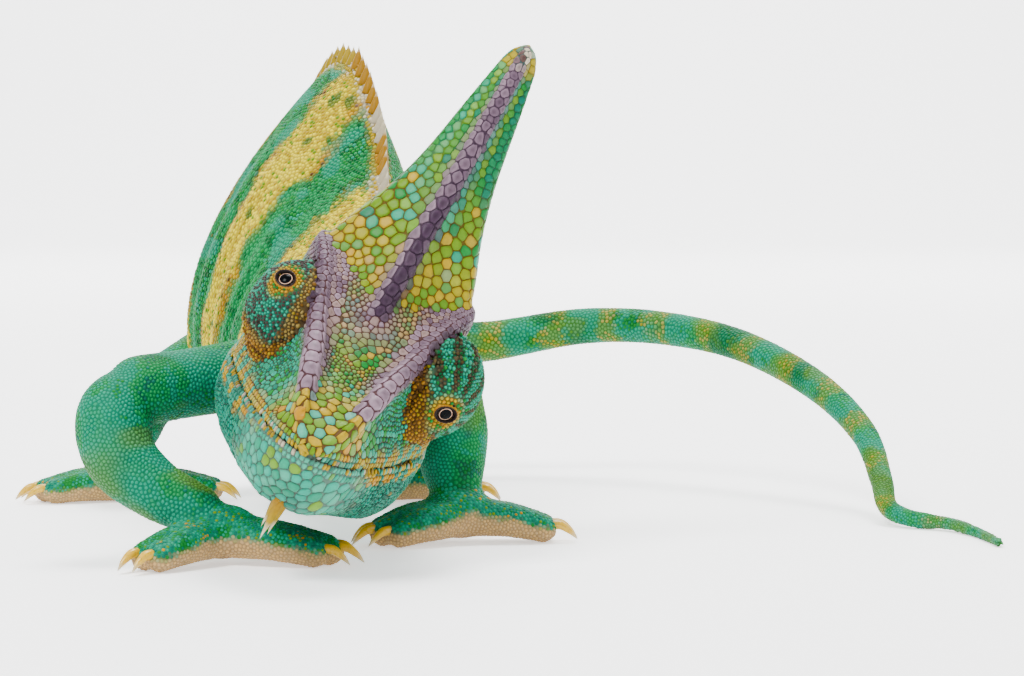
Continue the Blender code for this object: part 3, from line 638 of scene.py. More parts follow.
@dataclass
class Trunk:
    """The neck and trunk: each section leans and is a leaf or an oval, keeled along the back."""

    stations: tuple = (
        (-12.5, 12.0, 51.0, 22.0, 13.0, 27, 0.2),
        (-16.5, 26.0, 51.0, 17.0, 15.5, 21, 0.4),
        (-21.3, 43.0, 58.5, 13.0, 18.0, 15, 0.8),
        (-23.2, 60.0, 71.5, 11.5, 19.5, 12, 1.0),
        (-28.3, 77.0, 83.5, 11.5, 20.0, 10, 1.0),
        (-35.0, 93.0, 82.5, 13.5, 19.8, 8.5, 1.0),
        (-41.5, 108.0, 68.5, 17.0, 16.5, 6, 0.8),
        (-45.3, 121.0, 53.0, 20.5, 12.5, 3, 0.4),
        (-44.0, 134.0, 43.5, 24.0, 8.2, 0, 0.1),
    )

    def sections(self, at: Array, height: Array, way: Array) -> Array:
        """Points of the sections, by station and by height round them.

        Half width = sharpness x leaf + the rest x oval. The leaf, 2.598 sqrt(h) (1 - h), is 1 at its
        widest, a third of the way up.

        Args:
            at: station numbers.
            height: share of the height from belly to back, for each point round.
            way: +1 or -1 for each point round, the side it is on.

        Returns:
            Stations x points x 3 positions.
        """
        table = np.array(self.stations, float)
        rows = through(np.arange(len(table)), table, at)
        ahead = through(np.arange(len(table)), table[:, :3], at + 0.01) - rows[:, :3]
        ahead = unit(ahead * np.array([1.0, 1.0, 0.0]))
        lean = np.radians(rows[:, 5])
        up = np.stack([np.sin(lean), 0 * lean, np.cos(lean)], -1)
        half_height = (rows[:, 2] - rows[:, 3]) / up[:, 2] / 2
        middle = rows[:, :3] - up * half_height[:, None]
        across = unit(np.cross(ahead, up))
        oval = 2 * np.sqrt(np.clip(height * (1 - height), 0, None))
        leaf = 2.598 * np.sqrt(height) * (1 - height)
        sharp = rows[:, 6][:, None]
        width = rows[:, 4][:, None] * (sharp * leaf + (1 - sharp) * oval) * way
        lift = (2 * height - 1) * half_height[:, None]
        return middle[:, None] + up[:, None] * lift[..., None] + across[:, None] * width[..., None]

    def form(self, rows: int = 150, columns: int = 96) -> Form:
        """The neck and trunk in one."""
        at = np.linspace(0, len(self.stations) - 1.02, rows)
        turn = once_round(columns)
        height = (1 - np.cos(turn)) / 2
        side = np.sign(np.sin(turn))
        grid = self.sections(at, height, side)
        return Form(Region.BODY, grid, at, height * np.where(side < 0, -1, 1))

    def back(self, at: Array) -> tuple[Array, Array]:
        """Points along the top of the back, and the directions that spines stand in."""
        pair = self.sections(at, np.array([0.0, 1.0]), np.zeros(2))
        return pair[:, 1], unit(pair[:, 1] - pair[:, 0])


@dataclass
class Tail:
    """The tail: (x, y, height of its middle, radius) from the rump to the tip."""

    rows: tuple = (
        (-44.0, 134.5, 33.8, 8.0), (-37.0, 147.0, 30.5, 6.6), (-24.0, 154.0, 28.6, 5.3), (-6.7, 155.5, 28.2, 4.4),
        (14.2, 153.0, 31.6, 3.85), (30.4, 142.0, 31.8, 3.55), (45.4, 125.0, 29.1, 3.25), (58.1, 105.0, 22.6, 3.0),
        (65.4, 88.0, 14.8, 2.6), (67.1, 74.0, 7.2, 2.2), (67.2, 65.5, 3.2, 1.9), (70.5, 60.0, 1.75, 1.7),
        (76.4, 55.5, 1.35, 1.35), (79.9, 46.5, 1.0, 1.1), (81.5, 32.2, 0.8, 0.85),
    )

    def form(self, samples: int = 260, columns: int = 30) -> Form:
        """The tail as one tapering tube, evenly sampled by length."""
        table = np.array(self.rows, float)
        fine = through(np.arange(len(table)), table, np.linspace(0, len(table) - 1, 600))
        run = lengths(fine[:, :3])
        even = straight(run, fine, np.linspace(0, run[-1], samples))
        path, radii = domed(even[:, :3], even[:, 3])
        return Form(Region.TAIL, tube_grid(path, radii, columns), np.linspace(0, run[-1], len(path)))


@dataclass
class Limb:
    """One leg: tables of (x, y, z, radius) for its lengths, and where its palm and toes are."""

    name: str
    upper: list
    lower: list
    palm: tuple
    outer: tuple
    inner: tuple
    outer_toes: int
    toes: int = 5
    toe_spread: float = 3.3
    palm_radii: tuple = (6.4, 5.6, 4.6)
    toe_root_radius: float = 3.6
    toe_tip_radius: float = 2.5
    knuckle_at: float = 0.55
    claw_length: float = 4.4
    claw_radius: float = 0.8
    claw_reach: tuple = (0.0, 0.30, 0.62, 0.86)
    claw_arch: tuple = (0.3, 0.1, -0.9)
    claw_tip_height: float = 0.35

    def bundles(self) -> list[tuple[str, tuple, int]]:
        """Name, end point and number of toes of the two bundles."""
        return [("outer", self.outer, self.outer_toes), ("inner", self.inner, self.toes - self.outer_toes)]

    def toe_lines(self) -> list[tuple[str, Array, Array]]:
        """For each toe: its claw's name, its three points from root to tip, and the level way it points."""
        palm = np.array(self.palm, float)
        lines = []
        for bundle, end, count in self.bundles():
            end = np.array(end, float)
            ahead = unit((end - palm) * np.array([1.0, 1.0, 0.0]))
            across = np.array([-ahead[1], ahead[0], 0.0])
            for i in range(count):
                offset = (i - (count - 1) / 2) * self.toe_spread
                tip = end + across * offset - ahead * 1.4 * abs(offset) / self.toe_spread
                root = palm + across * offset * 0.55 + ahead * (1.5 + 0.17 * i) - np.array([0, 0, 0.6])
                knuckle = root + self.knuckle_at * (tip - root) + across * offset * 0.14
                knuckle = knuckle + np.array([0, 0, 0.5 - 0.11 * i])
                lines.append((f"{bundle}_toes_claw_{i + 1}", np.array([root, knuckle, tip]), ahead))
        return lines

    def forms(self) -> list[Form]:
        """The leg's two lengths, palm and toes."""
        region = Region.ARM if "arm" in self.name else Region.LEG
        forms = [tube_form(region, rows, 44, 36) for rows in (self.upper, self.lower)]
        forms.append(ball_form(Region.PALM, self.palm, self.palm_radii))
        middle = 0.5 * (self.toe_root_radius + self.toe_tip_radius)
        for _, line, _ in self.toe_lines():
            rows = np.column_stack([line, [self.toe_root_radius, middle, self.toe_tip_radius]])
            forms.append(tube_form(Region.TOES, rows, 20, 22))
        return forms

    def claws(self) -> list[tuple[str, Array, Array]]:
        """Name, path and radii of each claw, a horn that arches forward and down to the floor."""
        found = []
        for name, toe, ahead in self.toe_lines():
            start = toe[-1] + ahead * 1.0 + np.array([0.0, 0.0, 0.4])
            base = start + ahead * self.toe_tip_radius * 0.35
            reach = self.claw_length * np.array(self.claw_reach)
            lift = np.array([*self.claw_arch, self.claw_tip_height - toe[-1, 2]])
            line = base + ahead * reach[:, None] + np.array([0, 0, 1.0]) * lift[:, None]
            line = np.vstack([start, line])
            radii = self.claw_radius * np.array([1.0, 1.0, 0.92, 0.62, 0.16])
            smooth = through(np.arange(5), np.column_stack([line, radii]), np.linspace(0, 4, 14))
            found.append((f"{self.name}_foot_{name}", smooth[:, :3], smooth[:, 3]))
        return found


LIMBS = (
    Limb(
        "right_arm",
        [(-30, 44, 30.5, 7.0), (-40, 36, 29.5, 6.4), (-52, 28, 28.0, 5.9), (-60.5, 21.5, 27.0, 6.0)],
        [(-61.4, 20.6, 27.2, 5.0), (-64.3, 18, 23, 6.4), (-63, 16, 16.6, 6.1), (-57.2, 14, 11.6, 5.1),
         (-50.6, 12.8, 8.4, 4.4)],
        (-46.5, 12.5, 5.0), (-56.6, 0.4, 2.35), (-29.0, 8.5, 2.35), 2,
    ),
    Limb(
        "left_arm",
        [(-19, 46, 29.0, 7.0), (-14.5, 48.5, 25.5, 6.4), (-10.8, 49.5, 21.5, 6.1)],
        [(-10.2, 49.4, 22.6, 5.6), (-10.2, 47.8, 18.5, 6.3), (-10.2, 45, 13.6, 6), (-9.6, 42.4, 8.6, 4.7)],
        (-9.0, 40.5, 5.0), (6.0, 40.6, 2.35), (-21.6, 33.4, 2.35), 2,
    ),
    Limb(
        "right_leg",
        [(-47, 118, 32, 8.0), (-56, 111, 27.8, 7.5), (-64, 104, 23.6, 6.6), (-69.0, 99, 20.6, 6.0)],
        [(-69.8, 97.6, 21.4, 5.4), (-71.6, 100, 16.6, 5.8), (-73.6, 104, 12, 5), (-74.2, 107, 8.4, 4.3)],
        (-74.0, 107.5, 4.1), (-89.6, 103.5, 2.35), (-57.5, 105.0, 2.35), 3,
    ),
    Limb(
        "left_leg",
        [(-42, 119, 32, 8.0), (-33, 113, 28, 7.4), (-25.5, 105, 24, 6.7), (-21.5, 99.5, 20.8, 6.1)],
        [(-21, 98, 21.6, 5.4), (-20.2, 101, 17, 5.8), (-20.4, 105.5, 12, 5), (-21.2, 109, 8.4, 4.3)],
        (-22.2, 109.5, 4.1), (-7.5, 103.0, 2.35), (-37.0, 102.5, 2.35), 3,
    ),
)


# ---- placing in the row frame


@dataclass
class Stand:
    """Where the standing frame lies in the row frame, found from the boxes of the eyeballs' nodes."""

    head: Head

    def __post_init__(self) -> None:
        """Matches both eyeballs' middles to the boxes of their nodes."""
        head, shifts = self.head, []
        for side in SIDES:
            low, high = (np.array(corner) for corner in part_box(f"eyeball_{side}"))
            centre, gaze, _, _ = head.turret_axes(side)
            reach = head.turret_radius + head.ball_out - head.ball_radius
            at = centre + gaze * np.array(head.turret_shape) * reach
            shifts.append(head.out(at) - (low + high) / 2 / MM)
        self.middle = np.mean(shifts, axis=0) * np.array([1.0, 1.0, 0.0])

    def to_row(self, points: Array) -> Array:
        """Standing millimetres as row-frame metres."""
        return (np.asarray(points, float) - self.middle) * MM


# ---- colours


class Paint:
    """The animal's colours, in linear light."""

    TURQUOISE = srgb("007C5D")
    TEAL = srgb("005946")
    AQUA = srgb("00856C")
    MINT = srgb("308B71")
    GREEN = srgb("006924")
    DEEP_GREEN = srgb("004D22")
    BODY_GREEN = srgb("00793F")
    YELLOW_GREEN = srgb("527400")
    PALE_GREEN = srgb("598121")
    YELLOW = srgb("957C00")
    PALE_YELLOW = srgb("C4B100")
    ORANGE = srgb("9B6F00")
    PEACH = srgb("B18E59")
    TAN = srgb("A2855B")
    CREAM = srgb("B5AA8E")
    LILAC = srgb("73606C")
    MAUVE = srgb("574653")
    PURPLE = srgb("302130")
    PINK_GREY = srgb("76615D")
    OCHRE = srgb("845B0D")
    BROWN = srgb("3C2712")
    RED_BROWN = srgb("45220D")
    DARK = srgb("110A09")
    SMOKE = srgb("302824")
    HORN = srgb("BC9300")
    GROOVE_MAUVE = srgb("351B18")
    GROOVE_CHIN = srgb("4D4242")
    GROOVE_TURRET = srgb("1D1512")
    DULL_CREAM = CREAM * 0.7
    DULL_YELLOW = YELLOW * 0.8
    DULL_OCHRE = OCHRE * 0.5
    DULL_GREEN = DEEP_GREEN * 0.6


def choose(grain: Array, **shares: float) -> Array:
    """One whole colour for each scale.

    Args:
        grain: a number from 0 to 1 for each scale.
        shares: colours of the paint, each with the share of the scales that have it.

    Returns:
        A colour for each scale.
    """
    edges = np.cumsum(list(shares.values()))
    which = np.searchsorted(edges / edges[-1], np.clip(grain, 0, 0.9999), side="right")
    return np.array([getattr(Paint, name) for name in shares])[which]


@dataclass
class Markings:
    """Which colour each point of skin, or each scale, has, by the lines of the head and the body.

    The methods named for parts of the body take places (at), in the head for its own parts and in
    the standing frame for the rest, a number from 0 to 1 for each scale (grain), smooth noise
    (patch) and, where they need them, the notes of the forms (along, share) and how far the skin
    faces down. They return a linear colour for each place.
    """

    head: Head

    def near_ridge(self, at: Array, reach: float, full: float) -> Array:
        """How far each point of the casque is on its ridge: 0 past the reach, 1 within the full width.

        Args:
            at: points in the head.
            reach: half width past which it is 0.
            full: half width within which it is 1.

        Returns:
            A number for each point.
        """
        front, _, _, _, lean = self.head.casque_lines(held(at[:, 2], self.head.casque_at))
        taper = np.interp(at[:, 2], [10, 28, 45], [1.0, 0.88, 0.55])
        return ease(np.abs(at[:, 0] - lean) / taper, reach, full) * ease(at[:, 1] - front, -1.9, -0.9)

    def gold_runs(self, at: Array, grain: Array, seed: int) -> Array:
        """Which stretches of the lips wear gold: 0 to 1, by a wave along them that wanders."""
        wave = np.sin(1.5 * at[:, 1] + 3 * noise(at, 3.0, seed))
        return ease(wave + 0.5 * (grain - 0.5), -0.4, 0.1)

    def casque(self, at: Array, grain: Array, patch: Array) -> Array:
        """Big plates of yellow-green, green and turquoise below, lengthwise stripes above."""
        height = (at[:, 2] - 5) / 41
        front, wide, _, rear, lean = self.head.casque_lines(held(at[:, 2], self.head.casque_at))
        back = np.clip((front - at[:, 1]) / (front - rear), 0, 1)
        plates = choose(
            (grain + 0.22 * patch) % 1.0,
            YELLOW_GREEN=0.42, PALE_GREEN=0.12, TURQUOISE=0.16, TEAL=0.06, GREEN=0.12, YELLOW=0.12,
        )
        low = ease(at[:, 2] + 2 * patch, 15, 9) * ease(back, 0.75, 0.3)
        warm = choose(grain, YELLOW=0.5, ORANGE=0.1, YELLOW_GREEN=0.4)
        plates = mix(plates, warm, 0.8 * low)
        streak = noise(at * np.array([1.0, 1.0, 0.22]), 1.5, 71)
        across = at[:, 0] - lean
        out = np.abs(across) / np.maximum(wide, 3.0) + 0.06 * streak + 0.04 * patch
        right = ramp(
            out,
            [(0.20, Paint.YELLOW_GREEN), (0.34, Paint.PALE_GREEN), (0.42, Paint.TEAL), (0.52, Paint.GREEN),
             (0.60, Paint.YELLOW_GREEN), (0.68, Paint.PALE_GREEN), (0.78, Paint.TURQUOISE), (0.95, Paint.GREEN)],
        )
        left = ramp(
            out,
            [(0.25, Paint.TURQUOISE), (0.42, Paint.TEAL), (0.52, Paint.YELLOW_GREEN), (0.62, Paint.GREEN),
             (0.80, Paint.TEAL), (1.0, Paint.GREEN)],
        )
        stripe = mix(left, right, across < 0)
        colour = mix(plates, stripe, ease(height + 0.10 * patch + 0.10 * (grain - 0.5), 0.30, 0.50))
        colour = mix(colour, Paint.TEAL, 0.75 * ease(back, 0.74, 0.90) * ease(height, 0.75, 0.4))
        # Ridge plates: the ridge's own purple to mauve up its height, its dark lower part partly painted shade; lilac
        # on the right flank (x < 0) is painted light on the lit side.
        ridge = mix(Paint.PURPLE, Paint.MAUVE, ease(height + 0.05 * patch + 0.5 * (grain - 0.5), 0.15, 1.0))
        ridge = mix(ridge, Paint.LILAC, 0.75 * ease(across, -0.2, -1.5) + 0.3 * (grain - 0.5))
        tip = choose(grain, MINT=0.4, CREAM=0.3, BROWN=0.3)
        ridge = mix(ridge, tip, 0.75 * ease(height, 0.92, 0.97))
        rim = choose(grain, YELLOW=0.6, AQUA=0.4)
        colour = mix(colour, rim, 0.8 * ease(height, 0.88, 0.94))
        return mix(colour, ridge, self.near_ridge(at, 2.5, 1.7))

    def skull(self, at: Array, grain: Array, patch: Array) -> Array:
        """Forehead, snout, brow crests, cheeks and upper lip."""
        x, y, z = at.T
        wide, crest_z = self.head.crest(y)
        lip_z = self.head.lip(y)[1]
        inside = np.abs(x) - wide
        fore = choose(
            (grain + 0.2 * patch) % 1.0, YELLOW_GREEN=0.44, YELLOW=0.2, GREEN=0.22, PALE_GREEN=0.12, TURQUOISE=0.02
        )
        warm = choose(grain, YELLOW=0.4, ORANGE=0.22, YELLOW_GREEN=0.25, PINK_GREY=0.13)
        fore = mix(fore, warm, 0.85 * ease(y + 2 * patch, -4, -9))
        snout = choose(
            (grain + 0.15 * patch) % 1.0, YELLOW=0.38, ORANGE=0.1, YELLOW_GREEN=0.26, PALE_GREEN=0.14, MINT=0.12
        )
        colour = mix(fore, snout, ease(y + patch, 9, 12))
        grey = choose(grain, PINK_GREY=0.38, LILAC=0.4, MAUVE=0.22)
        near_root = 1.15 * np.exp(-((x / 4.6) ** 2) - ((y + 3.4) / 4.4) ** 2)
        arms = bump(np.abs(x) - 0.55 * wide - 0.25 * (y + 10), 0.0, 1.3) * ease(y, 4, -1) * 0.8
        beside = ease(inside, -4.8, -3.2) * ease(y, 13, 6)
        rear = ease(y, -8, -13) * ease(inside, -7, -3.5)
        colour = mix(colour, grey, near_root + arms + beside + rear + 0.25 * patch)
        side = choose((grain + 0.25 * patch) % 1.0, TURQUOISE=0.5, TEAL=0.2, GREEN=0.2, AQUA=0.1)
        depth = (crest_z - z) / (crest_z - lip_z)
        colour = mix(colour, side, ease(depth, 0.10, 0.28) * ease(y + 2 * patch, 16, 11))
        low = ease(depth + 0.08 * patch, 0.70, 0.86)
        runs = self.gold_runs(at, grain, 43)
        gold = choose(grain, ORANGE=0.5, YELLOW=0.5)
        colour = mix(colour, mix(Paint.AQUA, gold, runs), 0.85 * low)
        lip = choose(grain, DULL_CREAM=0.14, MINT=0.5, YELLOW=0.36)
        lip = mix(lip, Paint.YELLOW, 0.8 * runs * ease(y, 21, 14))
        on_lip = ease(z - lip_z, 1.1, 0.95)
        colour = mix(colour, lip, on_lip * ease(y, self.head.mouth_corner - 3, self.head.mouth_corner))
        near = np.hypot(inside + 0.4, z - crest_z)
        on_crest = np.maximum(ease(near, 2.4, 1.6), ease(inside, -4.3, -3.2) * (depth < 0.12) * ease(y, 2, 8))
        on_crest = on_crest * ease(y, 16.8, 15.8) * ease(y, -20, -16)
        crest = mix(Paint.LILAC, Paint.MAUVE, 0.45 * ease(y, 8, -4) + 0.7 * (grain - 0.3))
        crest = mix(crest, Paint.PURPLE, 0.8 * ease(inside, -0.6, 0.8) * ease(y, 12, 0))
        return mix(colour, crest, on_crest)

    def jaw(self, at: Array, grain: Array, patch: Array) -> Array:
        """Pale polygons on the chin, turquoise granules behind, a few yellow spots at the edge."""
        _, y, z = at.T
        lip_z = self.head.lip(y)[1]
        bottom = through(self.head.jaw_at, self.head.jaw_bottom, held(y, self.head.jaw_at))
        depth = (lip_z - z) / (lip_z - bottom)
        base = choose((grain * 0.6 + 0.5 + 0.35 * patch) % 1.0, TURQUOISE=0.54, TEAL=0.26, AQUA=0.2)
        base = mix(base, Paint.GREEN, 0.35 * ease(patch, 0.25, 0.7)) * 0.8
        chin = choose(grain, MINT=0.36, AQUA=0.32, TURQUOISE=0.22, PALE_GREEN=0.1)
        colour = mix(base, chin, ease(y + 2 * patch, 9, 15) * ease(depth, 1.05, 0.75))
        colour = mix(colour, Paint.MINT, 0.3 * ease(depth, 0.3, 0.12))
        spots = ease(noise(at, 3.2, 41), 0.42, 0.6) * ease(depth, 0.10, 0.2) * ease(depth, 0.75, 0.5)
        colour = mix(colour, Paint.ORANGE, 0.8 * spots * ease(y, 12, 4))
        warm = self.gold_runs(at, grain, 47) * ease(y, 16, 10)
        behind = ease(y, self.head.mouth_corner - 3, self.head.mouth_corner)
        gold = choose(grain, ORANGE=0.5, YELLOW=0.5)
        colour = mix(colour, gold, warm * behind * ease(lip_z - z + 0.8 * patch, 3.2, 2.2))
        lip = choose(grain, DULL_CREAM=0.2, MINT=0.5, YELLOW=0.3)
        return mix(colour, lip, behind * ease(lip_z - z, 1.1, 0.95))

    def turret(self, side: str, at: Array, grain: Array, patch: Array) -> Array:
        """Granules in turquoise and green on brown, ochre towards the fold, yellow by the lid."""
        away, tilt = self.head.seen_from_turret(side, at)
        _, _, across, up = self.head.turret_axes(side)
        turn = np.arctan2(away @ up, away @ across)
        out = away[:, 0] * SIDES[side]
        if side == "right":
            colour = choose(grain, TURQUOISE=0.3, AQUA=0.2, SMOKE=0.5)
            ochre = ease(away[:, 2] + 0.08 * patch, -0.20, -0.45) + 0.8 * ease(out, 0.10, -0.05)
        else:
            stripes = ease(np.sin(12 * turn + 0.5 * patch), 0.0, 0.2) * ease(tilt, 0.38, 0.5)
            valley = choose((3.7 * grain) % 1.0, BROWN=0.5, DULL_GREEN=0.5)
            colour = mix(choose(grain, TURQUOISE=0.58, AQUA=0.22, GREEN=0.2), valley, 0.92 * stripes)
            ochre = ease(0.75 * out + 0.1 * away[:, 1] + 0.45 * away[:, 2] + 0.05 * patch, 0.12, -0.08)
        ochre_grain = choose(grain, OCHRE=0.56, DULL_OCHRE=0.26, DULL_YELLOW=0.18)
        # Painted shade: granules in the valleys between the folds round the turret's lower edge go brown.
        ochre_grain = mix(ochre_grain, Paint.BROWN, 0.75 * ease(self.head.wrinkle(side, at), 0.0, -0.7))
        colour = mix(colour, ochre_grain, np.clip(ochre, 0, 1))
        near = choose(grain, YELLOW=0.5, ORANGE=0.25, GREEN=0.25)
        colour = mix(colour, near, ease(tilt + 0.06 * patch, 0.44, 0.31))
        return mix(colour, Paint.DARK, ease(tilt, 0.25, 0.19))

    def body(self, at: Array, along: Array, share: Array, grain: Array, patch: Array) -> Array:
        """Green with broad upright yellow bands edged in orange and brown, and turquoise spots."""
        height = np.abs(share)
        base = choose(
            (grain * 0.5 + 0.25 + 0.4 * patch) % 1.0, BODY_GREEN=0.5, DEEP_GREEN=0.12, GREEN=0.2, TURQUOISE=0.18
        )
        spots = ease(noise(at, 4.5, 7), 0.22, 0.45)
        base = mix(base, Paint.TURQUOISE, 0.8 * spots)
        wander = 0.16 * noise(at, 9.0, 3) + 0.05 * noise(at, 3.0, 5)
        place = along + wander + 0.15 * (1 - height)
        bands = np.full(len(at), -9.0)
        for middle, width in ((0.8, 0.19), (2.1, 0.30), (3.75, 0.42), (5.3, 0.34), (6.6, 0.25)):
            bands = np.maximum(bands, 1 - np.abs(place - middle) / width)
        bands = bands - ease(height, 0.14, 0.02)
        yellow = choose(grain, PALE_YELLOW=0.6, YELLOW=0.3, YELLOW_GREEN=0.1)
        holes = ease(noise(at, 3.6, 11), 0.40, 0.58)
        yellow = mix(yellow, Paint.DEEP_GREEN, 0.8 * holes)
        edge = choose(grain, ORANGE=0.6, YELLOW=0.28, RED_BROWN=0.12)
        colour = mix(base, edge, ease(bands + 0.35 * patch, -0.30, 0.05) * ease(noise(at, 5.0, 61), -0.5, 0.3))
        colour = mix(colour, yellow, ease(bands + 0.3 * patch, 0.05, 0.35))
        crest = choose((grain * 0.4 + 0.3 + 0.5 * noise(at, 6.0, 19)) % 1.0, CREAM=0.4, YELLOW=0.3, ORANGE=0.3)
        colour = mix(colour, crest, ease(height, 0.955, 0.985))
        belly = choose(grain, AQUA=0.6, MINT=0.4)
        return mix(colour, belly, 0.8 * ease(height, 0.05, 0.01))

    def limb(self, at: Array, grain: Array, patch: Array) -> Array:
        """Turquoise-green, mottled with darker green and yellow-green."""
        base = choose(
            (grain * 0.35 + 0.32 + 0.7 * patch) % 1.0, TEAL=0.14, BODY_GREEN=0.3, TURQUOISE=0.38, GREEN=0.18
        )
        base = mix(base, Paint.DEEP_GREEN, 0.7 * ease(noise(at, 7.0, 23), 0.05, 0.45))
        base = mix(base, Paint.TURQUOISE, 0.7 * ease(noise(at, 6.0, 37), 0.15, 0.45))
        return mix(base, Paint.YELLOW_GREEN, 0.5 * ease(noise(at * np.array([1.0, 1.0, 1.6]), 6.5, 29), 0.2, 0.6))

    def tail(self, at: Array, along: Array, grain: Array, patch: Array) -> Array:
        """Green rings and yellow-green rings in turn, green alone at the tip."""
        colour = self.limb(at, grain, patch)
        ring = 0.5 + 0.5 * np.sin(TURN * (along + 2.5 * patch) / 12.5)
        pale = choose(grain, YELLOW_GREEN=0.5, YELLOW=0.35, PALE_GREEN=0.15)
        return mix(colour, pale, 0.7 * ease(ring + 0.3 * patch, 0.5, 0.95) * ease(along, 205, 180))

    def foot(self, down: Array, grain: Array, patch: Array) -> Array:
        """Green tops with turquoise and orange dots, peach soles and sides."""
        top = choose(
            (grain * 0.7 + 0.15 + 0.3 * patch) % 1.0,
            GREEN=0.36, TURQUOISE=0.26, TEAL=0.2, YELLOW_GREEN=0.1, ORANGE=0.08,
        )
        sole = choose(grain, TAN=0.55, PEACH=0.45)
        return mix(top, sole, ease(down + 0.2 * patch, -0.22, 0.16))

    def read(self, at: Array, normal: Array, notes: Array, grain: Array) -> Array:
        """The colour at each point.

        Args:
            at: points in the standing frame.
            normal: the way the skin faces there.
            notes: region, along and share of each.
            grain: a number from 0 to 1 for each scale.

        Returns:
            Linear colours.
        """
        region = notes[:, 0].astype(int)
        inside = self.head.within(at)
        patch = 0.65 * noise(at, 4.2, 1) + 0.35 * noise(at, 1.9, 2)
        painters = {
            Region.SKULL: lambda k: self.skull(inside[k], grain[k], patch[k]),
            Region.CASQUE: lambda k: self.casque(inside[k], grain[k], patch[k]),
            Region.JAW: lambda k: self.jaw(inside[k], grain[k], patch[k]),
            Region.TURRET_LEFT: lambda k: self.turret("left", inside[k], grain[k], patch[k]),
            Region.TURRET_RIGHT: lambda k: self.turret("right", inside[k], grain[k], patch[k]),
            Region.BODY: lambda k: self.body(at[k], notes[k, 1], notes[k, 2], grain[k], patch[k]),
            Region.TAIL: lambda k: self.tail(at[k], notes[k, 1], grain[k], patch[k]),
            Region.ARM: lambda k: self.limb(at[k], grain[k], patch[k]),
            Region.PALM: lambda k: self.foot(-normal[k, 2], grain[k], patch[k]),
        }
        painters[Region.LEG] = painters[Region.ARM]
        painters[Region.TOES] = painters[Region.PALM]
        colour = np.zeros((len(at), 3))
        for name, painter in painters.items():
            here = region == name
            if here.any():
                colour[here] = painter(here)
        return colour

    def groove(self, at: Array, notes: Array, colour: Array) -> Array:
        """The skin between scales: a deeper tone, red-brown on the casque, mauve on the face.

        Args:
            at: points in the standing frame.
            notes: region, along and share of each.
            colour: the colour of the scale there.

        Returns:
            Linear colours.
        """
        region = notes[:, 0].astype(int)
        inside = self.head.within(at)
        casque = region == Region.CASQUE
        on_top = (region == Region.SKULL) & (inside[:, 2] > self.head.lip(inside[:, 1])[1] + 1.0)
        chin = (region == Region.JAW) & (inside[:, 1] > 10)
        deep = colour * 0.36
        for parts, share in (((Region.ARM, Region.LEG, Region.TAIL, Region.BODY), 0.52), (FEET, 0.68)):
            deep = np.where(np.isin(region, parts)[:, None], colour * share, deep)
        for here, tone, share in (
            (casque, Paint.RED_BROWN, 0.82),
            (on_top, Paint.GROOVE_MAUVE, 0.88),
            (chin, Paint.GROOVE_CHIN, 0.7),
            (np.isin(region, tuple(TURRETS.values())), Paint.GROOVE_TURRET, 0.75),
        ):
            deep = np.where(here[:, None], mix(colour, tone, share), deep)
        deep = mix(deep, colour * 0.62, 0.8 * casque * ease(inside[:, 2], 18, 28))
        return mix(deep, mix(colour * 0.5, Paint.PURPLE, 0.5), self.near_ridge(inside, 2.7, 2.0) * casque)


# ---- finishes


def fill_in(node: bpy.types.Node, sockets: dict[str, float | tuple]) -> None:
    """Sets the named sockets of a node."""
    for name, value in sockets.items():
        node.inputs[name].default_value = value


